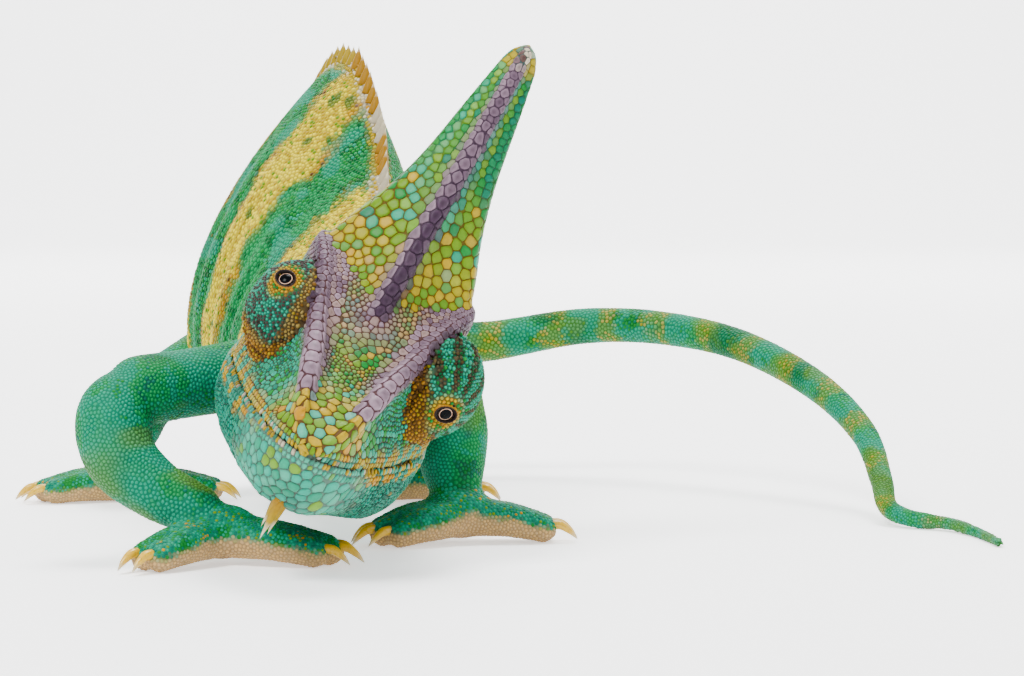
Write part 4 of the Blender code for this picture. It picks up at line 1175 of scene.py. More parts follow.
@dataclass(frozen=True)
class Finish:
    """A surface whose colour is kept in the mesh, with fine mottling, and grain where it has any.

    Attributes:
        name: the material's name.
        roughness: its mean roughness.
        specular: how strongly it reflects, 0.5 being usual.
        coat: share of a clear coat over it.
        coat_roughness: the roughness of that coat.
        mottle: how far the colour goes up and down.
        mottle_size: how many mottles there are to the metre.
        mottle_detail: how fine the noise of the mottles goes.
        mottle_range: the values of the noise between which the colour changes.
        grain: depth of the grain in millimetres, or 0 for a smooth surface of even roughness.
        grain_size: how many grains there are to the metre.
    """

    name: str
    roughness: float
    specular: float = 0.5
    coat: float = 0.0
    coat_roughness: float = 0.25
    mottle: float = 0.10
    mottle_size: float = 1800.0
    mottle_detail: float = 3.0
    mottle_range: tuple = (0.3, 0.7)
    grain: float = 0.05
    grain_size: float = 6000.0

    @cache
    def material(self) -> bpy.types.Material:
        """Tint attribute x fine noise for colour, noise for roughness and bump."""
        made = bpy.data.materials.new(self.name)
        made.use_nodes = True
        nodes, links = made.node_tree.nodes, made.node_tree.links
        shader = nodes["Principled BSDF"]
        fill_in(shader, {
            "Roughness": self.roughness, "Specular IOR Level": self.specular,
            "Coat Weight": self.coat, "Coat Roughness": self.coat_roughness,
        })
        place = nodes.new("ShaderNodeTexCoord")

        def speckle(size: float, detail: float) -> bpy.types.NodeSocket:
            """Noise on the object's own coordinates."""
            fine = nodes.new("ShaderNodeTexNoise")
            fill_in(fine, {"Scale": size, "Detail": detail})
            links.new(place.outputs["Object"], fine.inputs["Vector"])
            return fine.outputs["Fac"]

        def spread_to(value: bpy.types.NodeSocket, middle: float, reach: float) -> bpy.types.NodeSocket:
            """A value carried over to a span about a middle."""
            span = nodes.new("ShaderNodeMapRange")
            low, high = self.mottle_range
            fill_in(span, {"From Min": low, "From Max": high, "To Min": middle - reach, "To Max": middle + reach})
            links.new(value, span.inputs["Value"])
            return span.outputs["Result"]

        speck = speckle(self.mottle_size, self.mottle_detail)
        tint = nodes.new("ShaderNodeAttribute")
        tint.attribute_name = "Tint"
        tone = nodes.new("ShaderNodeVectorMath")
        tone.operation = "SCALE"
        links.new(tint.outputs["Color"], tone.inputs[0])
        links.new(spread_to(speck, 1.0, self.mottle), tone.inputs["Scale"])
        links.new(tone.outputs["Vector"], shader.inputs["Base Color"])
        if self.grain:
            links.new(spread_to(speck, self.roughness, 0.06), shader.inputs["Roughness"])
            raised = nodes.new("ShaderNodeBump")
            fill_in(raised, {"Strength": 0.35, "Distance": self.grain * MM})
            links.new(speckle(self.grain_size, 2.0), raised.inputs["Height"])
            links.new(raised.outputs["Normal"], shader.inputs["Normal"])
        return made


SKIN_FINISH = Finish("skin_between_scales", 0.6, specular=0.06)
SCALE_FINISH = Finish("scales", 0.42, specular=0.08)
PLATE_FINISH = Finish("head_plates", 0.38, specular=0.09)
SPINE_FINISH = Finish("crest_spines", 0.45, specular=0.10, mottle=0.08)
HORN_FINISH = Finish("claw_horn", 0.3, specular=0.4, coat=0.1, mottle=0.06)
EYE_FINISH = Finish(
    "wet_eye", 0.16, specular=0.03, coat=0.01, coat_roughness=0.02, mottle=0.15, mottle_size=4000.0,
    mottle_detail=2.0, mottle_range=(0.0, 1.0), grain=0.0,
)


def put(name: str, data: bpy.types.ID) -> bpy.types.Object:
    """A new object in the scene, at the origin."""
    obj = bpy.data.objects.new(name, data)
    bpy.context.scene.collection.objects.link(obj)
    return obj


def dressed(
    name: str, points: Array, faces: Array, tint: Array, finish: Finish, patch: Array | None = None
) -> bpy.types.Object:
    """Makes one piece of the model.

    Args:
        name: the piece's name.
        points: positions in row-frame metres.
        faces: corners of each face, all faces of one size.
        tint: a linear colour for each point.
        finish: what its surface is like.
        patch: a place on the bake map for each point, or None to leave that to an unwrap.

    Returns:
        The object, riding on the root.
    """
    mesh = bpy.data.meshes.new(name)
    faces = np.asarray(faces, np.int32)
    mesh.vertices.add(len(points))
    mesh.vertices.foreach_set("co", np.asarray(points, np.float32).ravel())
    mesh.loops.add(faces.size)
    mesh.loops.foreach_set("vertex_index", faces.ravel())
    mesh.polygons.add(len(faces))
    mesh.polygons.foreach_set("loop_start", np.arange(0, faces.size, faces.shape[1], dtype=np.int32))
    mesh.polygons.foreach_set("use_smooth", np.ones(len(faces), bool))
    mesh.update(calc_edges=True)
    colour = mesh.color_attributes.new("Tint", "FLOAT_COLOR", "POINT")
    rgba = np.ones((len(points), 4), np.float32)
    rgba[:, :3] = np.clip(tint, 0, 1)
    colour.data.foreach_set("color", rgba.ravel())
    if patch is not None:
        layer = mesh.uv_layers.new(name="OFBake")
        layer.data.foreach_set("uv", np.asarray(patch, np.float32)[faces.ravel()].ravel())
    mesh.materials.append(finish.material())
    obj = put(name, mesh)
    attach(obj, "root")
    log.info("%s: %d faces", name, len(faces))
    return obj


# ---- skin


@dataclass
class Skin:
    """One skin over every form of flesh, set in to leave room for the scales.

    Attributes:
        forms: the closed forms.
        head: gives the lines that the folds keep to.
        voxel: size of the cells of the grid that the skin is taken from.
        smoothings: rounds of smoothing, of which the upper head gets only the fine ones.
        depth: how far the skin is set in, for each region.
    """

    forms: list[Form]
    head: Head
    voxel: float = 0.74
    smoothings: int = 30
    fine_smoothings: int = 6
    depth: tuple = (0.30, 0.26, 0.28, 0.20, 0.20, 0.30, 0.18, 0.28, 0.28, 0.22, 0.20)

    def __post_init__(self) -> None:
        """Welds the forms together and sculpts the folds."""
        self.weld()
        self.label()
        self.smooth()
        self.sculpt()
        self.tree = BVHTree.FromPolygons(self.points.tolist(), self.quads.tolist())

    def weld(self) -> None:
        """Joins the forms and takes one even skin off them, on a fine grid of cells."""
        points, faces, start = [], [], 0
        for form in self.forms:
            own, quads, caps = form.mesh()
            points.append(own)
            faces += (quads + start).tolist() + (caps + start).tolist()
            start += len(own)
        mesh = bpy.data.meshes.new("forms")
        mesh.from_pydata(np.vstack(points).tolist(), [], faces)
        obj = put("forms", mesh)
        step = obj.modifiers.new("weld", "REMESH")
        step.mode = "VOXEL"
        step.voxel_size = self.voxel
        graph = bpy.context.evaluated_depsgraph_get()
        welded = bpy.data.meshes.new_from_object(obj.evaluated_get(graph))
        self.points = np.zeros(len(welded.vertices) * 3, np.float32)
        welded.vertices.foreach_get("co", self.points)
        self.points = self.points.reshape(-1, 3).astype(float)
        self.quads = np.zeros(len(welded.loops), np.int32)
        welded.loops.foreach_get("vertex_index", self.quads)
        self.quads = self.quads.reshape(-1, 4)
        bpy.data.objects.remove(obj)
        bpy.data.meshes.remove(mesh)
        bpy.data.meshes.remove(welded)
        log.info("skin: %d faces", len(self.quads))

    def label(self) -> None:
        """Gives each point the region, along and share of the nearest point of a form."""
        source = np.vstack([form.grid.reshape(-1, 3) for form in self.forms])
        notes = np.vstack([form.notes() for form in self.forms])
        tree = tree_of(source)
        near = np.array([tree.find(point)[1] for point in self.points])
        self.notes = notes[near]

    def face_normals(self) -> Array:
        """Each quad's normal: the cross product of its diagonals."""
        corner = self.points[self.quads]
        return np.cross(corner[:, 2] - corner[:, 0], corner[:, 3] - corner[:, 1])

    def gathered(self, corners: Array, values: Array) -> Array:
        """For each point of the skin, the sum of the values that stand against it in the corners."""
        sums = [np.bincount(corners, column, len(self.points)) for column in values.T]
        return np.stack(sums, -1)

    def normals(self) -> Array:
        """Each point's normal: the sum of those of the quads round it."""
        flat = self.face_normals()
        return unit(sum(self.gathered(self.quads[:, c], flat) for c in range(4)))

    def smooth(self) -> None:
        """Takes the steps of the grid out: each point moves to its neighbours' middle and part back."""
        edges = np.vstack([self.quads[:, [c, (c + 1) % 4]] for c in range(4)])
        count = np.bincount(edges.T.ravel(), minlength=len(self.points))[:, None]
        fine = np.isin(self.notes[:, 0], (Region.SKULL, Region.CASQUE, *TURRETS.values()))
        for i in range(self.smoothings):
            weight = np.where(fine & (i >= self.fine_smoothings), 0.0, 0.55 if i % 2 == 0 else -0.56)
            middle = self.gathered(edges[:, 0], self.points[edges[:, 1]])
            middle = (middle + self.gathered(edges[:, 1], self.points[edges[:, 0]])) / count
            self.points = self.points + (middle - self.points) * weight[:, None]

    def sculpt(self) -> None:
        """Mouth groove, lid creases, throat wrinkles, ribs and the step down to the scales' roots."""
        normal = self.plain_normal = self.normals()
        region = self.notes[:, 0].astype(int)
        at = self.head.within(self.points)
        lift = -np.array(self.depth)[region]
        on_head = (region == Region.SKULL) | (region == Region.JAW)
        self.fold = on_head * self.head.crease(at)
        lift = lift - self.fold
        for side, name in TURRETS.items():
            lift = lift + 0.38 * (region == name) * self.head.wrinkle(side, at)
        throat = (region == Region.JAW) * ease(at[:, 1], 14, 8)
        lift = lift + throat * 0.20 * noise(at * np.array([1.0, 1.0, 0.4]), 1.9, 31)
        ribs = (region == Region.BODY) * bump(np.abs(self.notes[:, 2]), 0.45, 0.3)
        lift = lift + ribs * 0.3 * np.sin(TURN * self.notes[:, 1] * 2.1)
        self.points = self.points + normal * lift[:, None]
        self.normal = self.normals()

    def settle(self, points: Array) -> tuple[Array, Array]:
        """The nearest place on the skin to each point, and the quad that it is on."""
        found = [self.tree.find_nearest(point) for point in points]
        return np.array([f[0] for f in found]), np.array([f[2] for f in found])

    def unwrap(self) -> None:
        """Lays the skin out flat in charts, by the way each part faces."""
        mesh = bpy.data.meshes.new("chart")
        mesh.from_pydata(self.points.tolist(), [], self.quads.tolist())
        obj = put("chart", mesh)
        bpy.context.view_layer.objects.active = obj
        obj.select_set(True)
        bpy.ops.object.mode_set(mode="EDIT")
        bpy.ops.mesh.select_all(action="SELECT")
        bpy.ops.uv.smart_project(angle_limit=math.radians(66), island_margin=0.001)
        bpy.ops.object.mode_set(mode="OBJECT")
        self.chart = np.zeros(len(mesh.loops) * 2, np.float32)
        mesh.uv_layers.active.data.foreach_get("uv", self.chart)
        self.chart = self.chart.reshape(-1, 4, 2)
        bpy.data.objects.remove(obj)
        bpy.data.meshes.remove(mesh)


# ---- scales


@dataclass(frozen=True)
class ScaleShape:
    """How one kind of scale is built, about a middle point.

    Attributes:
        ways: points round it.
        rings: how far out each ring of points is, as a share of the scale's reach.
        heights: how high each ring stands, as a share of the middle's height.
        gap: the groove left round it.
        roundness: how far its corners are rounded off, 0 to 1.
    """

    ways: int
    rings: tuple
    heights: tuple
    gap: float
    roundness: float

    def disc(self) -> Array:
        """(x, y, share of the reach) of its points, laid out flat: the middle, then ring by ring."""
        turn, ring = once_round(self.ways), np.array(self.rings)[:, None]
        rings = np.stack(np.broadcast_arrays(np.cos(turn) * ring, np.sin(turn) * ring, ring), -1)
        return np.vstack([np.zeros(3), rings.reshape(-1, 3)])

    def faces(self) -> Array:
        """Its triangles: a fan round the middle, then two to each step round each band between rings."""
        around = np.arange(self.ways)
        beside = (around + 1) % self.ways
        faces = [np.stack([0 * around, 1 + around, 1 + beside], -1)]
        for level in range(len(self.rings) - 1):
            low, high = 1 + level * self.ways, 1 + (level + 1) * self.ways
            faces.append(np.stack([low + around, high + around, high + beside], -1))
            faces.append(np.stack([low + around, high + beside, low + beside], -1))
        return np.vstack(faces)


PLATE = ScaleShape(12, (0.55, 0.88, 0.97, 1.0), (0.98, 0.82, 0.36, -0.4), 0.034, 0.10)
BEAD = ScaleShape(8, (0.5, 0.84, 1.0), (0.88, 0.52, -0.35), 0.04, 0.45)
GRAIN = ScaleShape(6, (0.66, 1.0), (0.76, -0.35), 0.035, 0.7)
TURRET_GRAIN = ScaleShape(8, (0.6, 1.0), (0.76, -0.35), 0.03, 0.9)


@dataclass
class Coat:
    """All the scales: where each is rooted, how big it is and how it meets its neighbours.

    Attributes:
        skin: what they are rooted on.
        head: gives the rows along crests and lips.
        markings: their colours.
        stand: where they go in the row frame.
        rounds: how often crowded scales push apart.
        least_reach, most_reach: how far out a scale's edge may be, as shares of its size.
        fill: scales strewn, as a share of those that would fill the skin.
        clearance: how far a strewn scale keeps from one in a row, as a share of that one's size.
        patch_size: half the width of a scale's place on the bake map.
        ridge_rows: (place across, lowest height, pace, size) of each row up the casque's ridge.
        brow_rows: (place inwards in sizes, front end) of each row on a brow crest.
        lip_rows: (height over the mouth line, pace, size) of each row round the mouth.
    """

    skin: Skin
    head: Head
    markings: Markings
    stand: Stand
    rounds: int = 16
    least_reach: float = 0.12
    most_reach: float = 0.98
    fill: float = 0.97
    clearance: float = 0.62
    patch_size: float = 0.0015
    ridge_rows: tuple = ((0.0, 4.0, 2.3, 2.35), (1.55, 5.1, 2.0, 2.1), (-1.55, 5.6, 2.1, 2.2))
    brow_rows: tuple = ((0.1, 15.6), (1.0, 14.6))
    lip_rows: tuple = ((0.7, 0.82, 0.88), (1.55, 0.95, 1.05), (-0.7, 0.82, 0.88), (-1.55, 0.95, 1.05))
    random: np.random.Generator = field(default_factory=lambda: np.random.default_rng(7))

    def __post_init__(self) -> None:
        """Spreads the scales over the skin and lets them push each other apart."""
        skin = self.skin
        rows, rows_size = self.rows()
        loose = self.strew()
        tree = tree_of(rows)
        near = [tree.find(point) for point in loose]
        loose = loose[np.array([n[2] for n in near]) > self.clearance * rows_size[[n[1] for n in near]]]
        self.points = np.vstack([rows, loose])
        self.fixed = np.arange(len(self.points)) < len(rows)
        self.points, self.quad = skin.settle(self.points)
        self.size = np.concatenate([rows_size, np.zeros(len(loose))])
        self.read()
        self.spread()
        keep = self.fixed | (skin.fold[skin.quads[self.quad, 0]] < 0.6)
        for name in ("points", "fixed", "quad", "size", "notes", "normal"):
            setattr(self, name, getattr(self, name)[keep])

    def read(self) -> None:
        """Looks up what the skin says at each scale's root."""
        quads = self.skin.quads[self.quad]
        self.notes = self.skin.notes[quads[:, 0]]
        self.normal = unit(self.skin.plain_normal[quads].sum(axis=1))
        loose = ~self.fixed
        self.size[loose] = self.spacing(self.points[loose], self.notes[loose])

    def spacing(self, points: Array, notes: Array) -> Array:
        """The usual distance between two scales at each point.

        Args:
            points: places in the standing frame.
            notes: region, along and share of each.

        Returns:
            A distance in millimetres for each point.
        """
        region = notes[:, 0].astype(int)
        x, y, z = self.head.within(points).T
        on_skull = held(y, self.head.skull_at)
        wide, crest_z = self.head.crest(on_skull)
        lip_z = self.head.lip(on_skull)[1]
        inside = np.abs(x) - wide
        back = self.head.casque_lines(held(z, self.head.casque_at))[0] - y
        casque = np.interp(z, [3, 7, 12, 20, 27, 46], [1.1, 1.5, 2.1, 1.95, 1.5, 1.15])
        casque = np.where(back > 20, np.minimum(casque, 1.5), casque)
        top = np.interp(y, [-14, -8, -3, 2, 9, 20], [0.88, 0.88, 0.95, 1.35, 1.7, 1.75])
        crest = np.interp(y, [-18, -8, 2, 10, 20], [0.95, 1.05, 1.4, 2.1, 2.3])
        near = ease(inside, -6.2, -5.2) * ease(y, 6, 0)
        top = np.where(inside > -4.4, crest, top * (1 - near) + 0.95 * near)
        side = np.interp(y, [-20, 6, 11, 15, 20], [0.72, 0.78, 1.25, 1.75, 1.9])
        depth = (crest_z - z) / (crest_z - lip_z)
        skull = np.where(depth > 0.12, side, top)
        jaw = np.interp(y, [-10, 6, 13, 18], [0.74, 0.85, 1.35, 1.9])
        jaw = np.where(z < lip_z - 10, np.minimum(jaw, 1.1), jaw)
        table = {
            Region.SKULL: skull, Region.CASQUE: casque, Region.JAW: jaw,
            Region.BODY: np.interp(notes[:, 1], [0, 1.5, 8], [0.85, 0.95, 0.9]),
            Region.TAIL: np.interp(notes[:, 1], [0, 60, 150, 200, 250], [0.9, 0.85, 0.75, 0.6, 0.42]),
            Region.TURRET_LEFT: 0.64, Region.TURRET_RIGHT: 0.58, Region.ARM: 0.72, Region.LEG: 0.8,
            Region.PALM: 0.66, Region.TOES: 0.66,
        }
        found = np.ones(len(points))
        for name, sizes in table.items():
            found = np.where(region == name, sizes, found)
        return found * (1 + 0.12 * noise(points, 2.0, 53))

    def rows(self) -> tuple[Array, Array]:
        """Scales set out one by one, in rows: casque ridge, brow crests and both lips.

        Returns:
            Their places in the standing frame, and the size of each.
        """
        head, places, sizes = self.head, [], []
        marks = [4, 10, 28, 45]
        for across, start, pace, size in self.ridge_rows:
            height = self.march(start, 44.8, lambda z: pace * np.interp(z, marks, [0.6, 1.0, 0.9, 0.55]))
            shrink = np.interp(height, marks, [0.65, 1.0, 0.85, 0.5])
            height = height + 0.3 * (self.random.random(len(height)) - 0.5) * pace
            aside = np.stack([across * np.minimum(shrink, 0.9), -0.55 * abs(across) + 0 * height, 0 * height], -1)
            places.append(head.ridge_line(height) + aside)
            sizes.append(size * shrink)
        marks = [-16, -4, 5, 13]
        for side, (inward, front) in product(SIDES.values(), self.brow_rows):
            at = -self.march(-front, 16.5, lambda y: np.interp(-y, marks, [0.95, 1.25, 1.9, 2.3]))
            at = at + 0.3 * (self.random.random(len(at)) - 0.5)
            size = np.interp(at, marks, [1.0, 1.35, 2.05, 2.5])
            aside = np.stack([-inward * size * side, 0 * at, 0.25 - 0.1 * inward * size], -1)
            places.append(head.crest_line(side, at) + aside)
            sizes.append(size)
        for rise, pace, size in self.lip_rows:
            places.append(self.lip_row(rise, pace))
            sizes.append(np.full(len(places[-1]), size))
        return head.out(np.vstack(places)), np.concatenate(sizes)

    def lip_row(self, rise: float, pace: float) -> Array:
        """Places round the mouth, on the outside of the skin and this far above its line.

        Args:
            rise: height over the mouth line.
            pace: distance from one place to the next.

        Returns:
            The places, in the head.
        """
        head, skin = self.head, self.skin
        middle, start_out = np.array([0.0, 8.0, 0.0]), 25.0
        turn = np.linspace(-2.5, 2.5, 900)
        way = np.stack([np.sin(turn), np.cos(turn), 0 * turn], -1)
        inward = -way @ head.axes
        reach = np.full(len(turn), 17.0)

        def lip_height(forward: Array) -> Array:
            """Height of the row at places forward."""
            return head.lip(held(forward, head.skull_at))[1] + rise

        for _ in range(4):
            start = middle + way * start_out
            start[:, 2] = lip_height(middle[1] + way[:, 1] * reach)
            hits = [skin.tree.ray_cast(p, d, 40.0) for p, d in zip(head.out(start), inward)]
            struck = np.array([hit[0] is not None for hit in hits])
            quad = np.array([hit[2] or 0 for hit in hits])
            on_head = np.isin(skin.notes[skin.quads[quad, 0], 0], (Region.SKULL, Region.JAW))
            found = np.array([start_out - (hit[3] or 0.0) for hit in hits])
            good = struck & on_head
            reach = np.interp(turn, turn[good], found[good])
        reach = np.convolve(np.pad(reach, 8, mode="edge"), np.ones(17) / 17, mode="valid")
        line = middle + way * reach[:, None]
        line[:, 2] = lip_height(line[:, 1])
        line = line[line[:, 1] > head.mouth_corner]
        run = lengths(line)
        return straight(run, line, (np.arange(int(run[-1] / pace)) + 0.5) * pace)

    def march(self, first: float, last: float, pace: Callable[[float], float]) -> Array:
        """Places from first to last, each a step on from the one before by the pace there.

        Args:
            first: the first place.
            last: no step starts at or past this.
            pace: the step at each place.

        Returns:
            The places.
        """
        found = [first]
        while found[-1] < last:
            found.append(found[-1] + float(pace(found[-1])))
        return np.array(found)

    def strew(self) -> Array:
        """Places at random over the skin, as thick on the ground as the scales there are small.

        In rows set like a honeycomb, each scale takes up 0.866 of its spacing squared.
        """
        skin = self.skin
        corner = skin.points[skin.quads]
        area = 0.5 * np.linalg.norm(skin.face_normals(), axis=1)
        middle = corner.mean(axis=1)
        notes = skin.notes[skin.quads[:, 0]]
        spacing = self.spacing(middle, notes)
        density = area / (0.866 * spacing**2)
        count = int(density.sum() * self.fill)
        chosen = np.searchsorted(np.cumsum(density) / density.sum(), self.random.random(count))
        u, v = self.random.random((2, count, 1))
        pick = corner[np.clip(chosen, 0, len(corner) - 1)]
        return (pick[:, 0] * (1 - u) + pick[:, 1] * u) * (1 - v) + (pick[:, 3] * (1 - u) + pick[:, 2] * u) * v

    def near(self, count: int) -> Array:
        """The nearest neighbours of each scale, itself left out."""
        tree = tree_of(self.points)
        return np.array([[n[1] for n in tree.find_n(point, count + 1)][1:] for point in self.points])

    def spread(self) -> None:
        """Lets scales that crowd each other push apart along the skin, round after round."""
        for i in range(self.rounds):
            if i % 4 == 0:
                near = self.near(9)
            apart = self.points[:, None] - self.points[near]
            distance = np.linalg.norm(apart, axis=-1)
            wanted = 0.54 * (self.size[:, None] + self.size[near])
            same = (self.normal[:, None] * self.normal[near]).sum(-1) > 0
            push = np.clip(1 - distance / wanted, 0, 1) * same
            move = (unit(apart) * (push * wanted * 0.42)[..., None]).sum(axis=1)
            limit = 0.35 * self.size / np.maximum(np.linalg.norm(move, axis=1), 1e-9)
            move = move * np.minimum(1, limit)[:, None]
            move[self.fixed] = 0
            self.points[~self.fixed], self.quad[~self.fixed] = self.skin.settle((self.points + move)[~self.fixed])
            self.read()

    def build(self, chosen: Array, shape: ScaleShape, height: Array, wrap: bool) -> tuple[Array, Array, Array, Array]:
        """Makes the chosen scales.

        Each reaches, in every way round, to the line where the squared distances to it and to a
        neighbour differ as their squared sizes do, less the gap, and is domed over its rings.

        Args:
            chosen: numbers of the scales.
            shape: how they are built.
            height: how tall each stands.
            wrap: whether they follow the skin closely.

        Returns:
            Points, faces, the scale that each point belongs to, and its place on that scale's disc.
        """
        root, normal, size = self.points[chosen], self.normal[chosen], self.size[chosen]
        near = self.neighbours[chosen]
        first = unit(np.cross(normal, np.array([0.31, 0.87, 0.39])))
        second = np.cross(normal, first)
        apart = self.points[near] - root[:, None]
        same_side = (normal[:, None] * self.normal[near]).sum(-1) > 0.1
        x = (apart * first[:, None]).sum(-1)
        y = (apart * second[:, None]).sum(-1)
        squared = np.maximum((apart**2).sum(-1), 1e-6)
        edge = (squared + (0.5 * size[:, None]) ** 2 - (0.5 * self.size[near]) ** 2) / 2
        edge = np.maximum(edge, self.least_reach * squared)
        turn = once_round(shape.ways)
        towards = x[..., None] * np.cos(turn) + y[..., None] * np.sin(turn)
        bounded = (towards > 1e-6) & same_side[..., None]
        reach = np.where(bounded, edge[..., None] / np.maximum(towards, 1e-6), np.inf).min(axis=1)
        reach = np.minimum(reach, self.most_reach * size[:, None])
        rounded = (np.roll(reach, 1, 1) + 2 * reach + np.roll(reach, -1, 1)) / 4
        reach = reach + shape.roundness * np.minimum(rounded - reach, 0)
        reach = np.maximum(reach - shape.gap, self.least_reach * size[:, None])
        disc = shape.disc()
        levels = len(shape.rings)
        flat = disc[1:].reshape(levels, shape.ways, 3)[None] * reach[:, None, :, None]
        base = root[:, None, None] + flat[..., :1] * first[:, None, None] + flat[..., 1:2] * second[:, None, None]
        up = np.broadcast_to(normal[:, None, None], base.shape)
        if wrap:
            spots, quad = self.skin.settle(base.reshape(-1, 3))
            base = spots.reshape(base.shape)
            up = unit(self.skin.normal[self.skin.quads[quad]].sum(axis=1)).reshape(base.shape)
            up = unit(0.4 * up + 0.6 * normal[:, None, None])
        outer = base + up * (np.array(shape.heights)[:, None] * height[:, None, None])[..., None]
        points = np.concatenate([(root + normal * height[:, None])[:, None], outer.reshape(len(root), -1, 3)], axis=1)
        start = np.arange(len(root)) * len(disc)
        faces = (shape.faces()[None] + start[:, None, None]).reshape(-1, 3)
        owner = np.repeat(np.arange(len(root)), len(disc))
        return points.reshape(-1, 3), faces, owner, np.tile(disc, (len(root), 1))

    def piece(
        self, name: str, chosen: Array, shape: ScaleShape, rise: float, finish: Finish, slot: str, wrap: bool
    ) -> bpy.types.Object:
        """Makes one piece of the coat.

        Args:
            name: the piece's name.
            chosen: numbers of its scales.
            shape: how they are built.
            rise: height of a scale as a share of its size.
            finish: what their surface is like.
            slot: a slot's name; not used.
            wrap: whether they follow the skin closely.

        Returns:
            The piece.
        """
        height = np.clip(rise * self.size[chosen], 0.06, 0.45)
        points, faces, owner, flat = self.build(chosen, shape, height, wrap)
        tint = self.tint[chosen][owner]
        edge = flat[:, 2]
        if name in ("brow_plates", "ridge_plates"):
            tint = mix(tint * 0.72, tint * 1.25, ease(edge, 0.1, 0.85))
        else:
            tint = mix(tint * 1.06, tint * 0.88, ease(edge, 0.3, 0.9))
        tint = mix(tint, self.skin_tint[chosen][owner], ease(edge, 0.90 if shape is PLATE else 0.78, 0.99))
        patch = self.skin.chart[self.quad[chosen]].mean(axis=1)[owner] + self.patch_size * flat[:, :2]
        return dressed(name, self.stand.to_row(points), faces, tint, finish, patch)

    def pieces(self) -> None:
        """The whole coat, in pieces by part of the body."""
        self.neighbours = self.near(14)
        grain = self.random.random(len(self.points))
        self.tint = self.markings.read(self.points, self.normal, self.notes, grain)
        tone = 1 + 0.14 * (self.random.random(len(self.points)) - 0.5)
        self.tint = self.tint * tone[:, None]
        self.skin_tint = self.markings.groove(self.points, self.notes, self.tint)
        # Painted shade: scales in the mouth line and in the seam round each eye turret are darkened by how deep in
        # the crease they sit.
        self.tint = self.tint * (1 - 0.65 * self.skin.fold[self.skin.quads[self.quad, 0]])[:, None]
        region = self.notes[:, 0].astype(int)
        x, y, z = self.head.within(self.points).T
        casque, skull, jaw, body = (
            region == part for part in (Region.CASQUE, Region.SKULL, Region.JAW, Region.BODY)
        )
        big = self.size > 1.05
        wide, crest_z = self.head.crest(held(y, self.head.skull_at))
        in_row = self.fixed & (np.abs(x) > 3.0) & (z > -9)
        on_roll = (np.abs(x) - wide > -4.4) & (z > crest_z - 1.2)
        brows = skull & (in_row | on_roll) & (y < 16.3)
        ridge = casque & self.fixed
        bare = skull & ~brows
        for name, here, shape, rise, finish, slot, wrap in (
            ("ridge_plates", ridge, PLATE, 0.11, PLATE_FINISH, "casque_skin", True),
            ("brow_plates", brows, PLATE, 0.12, PLATE_FINISH, "casque_skin", True),
            ("casque_plates", casque & ~ridge, PLATE, 0.07, PLATE_FINISH, "casque_skin", True),
            ("forehead_plates", bare & big, PLATE, 0.085, PLATE_FINISH, "casque_skin", True),
            ("cheek_scales", bare & ~big, BEAD, 0.22, PLATE_FINISH, "casque_skin", False),
            ("chin_plates", jaw & big, PLATE, 0.12, PLATE_FINISH, "body_skin", True),
            ("throat_scales", jaw & ~big, BEAD, 0.26, SCALE_FINISH, "body_skin", False),
        ):
            self.piece(name, np.flatnonzero(here), shape, rise, finish, slot, wrap)
        for side, part in TURRETS.items():
            here = np.flatnonzero(region == part)
            self.piece(f"turret_granules_{side}", here, TURRET_GRAIN, 0.36, SCALE_FINISH, "eye_skin", False)
        right, front = self.notes[:, 2] < 0, self.notes[:, 1] < 3.9
        for name, here, rise in (
            ("neck_and_shoulder_scales_right", body & right & front, 0.2),
            ("neck_and_shoulder_scales_left", body & ~right & front, 0.2),
            ("flank_scales_right", body & right & ~front, 0.2),
            ("flank_scales_left", body & ~right & ~front, 0.2),
            ("tail_scales", region == Region.TAIL, 0.15),
            ("arm_scales", region == Region.ARM, 0.15),
            ("leg_scales", region == Region.LEG, 0.15),
            ("foot_scales", np.isin(region, FEET), 0.15),
        ):
            self.piece(name, np.flatnonzero(here), GRAIN, rise, SCALE_FINISH, "body_skin", False)


# ---- eyes, claws, spines


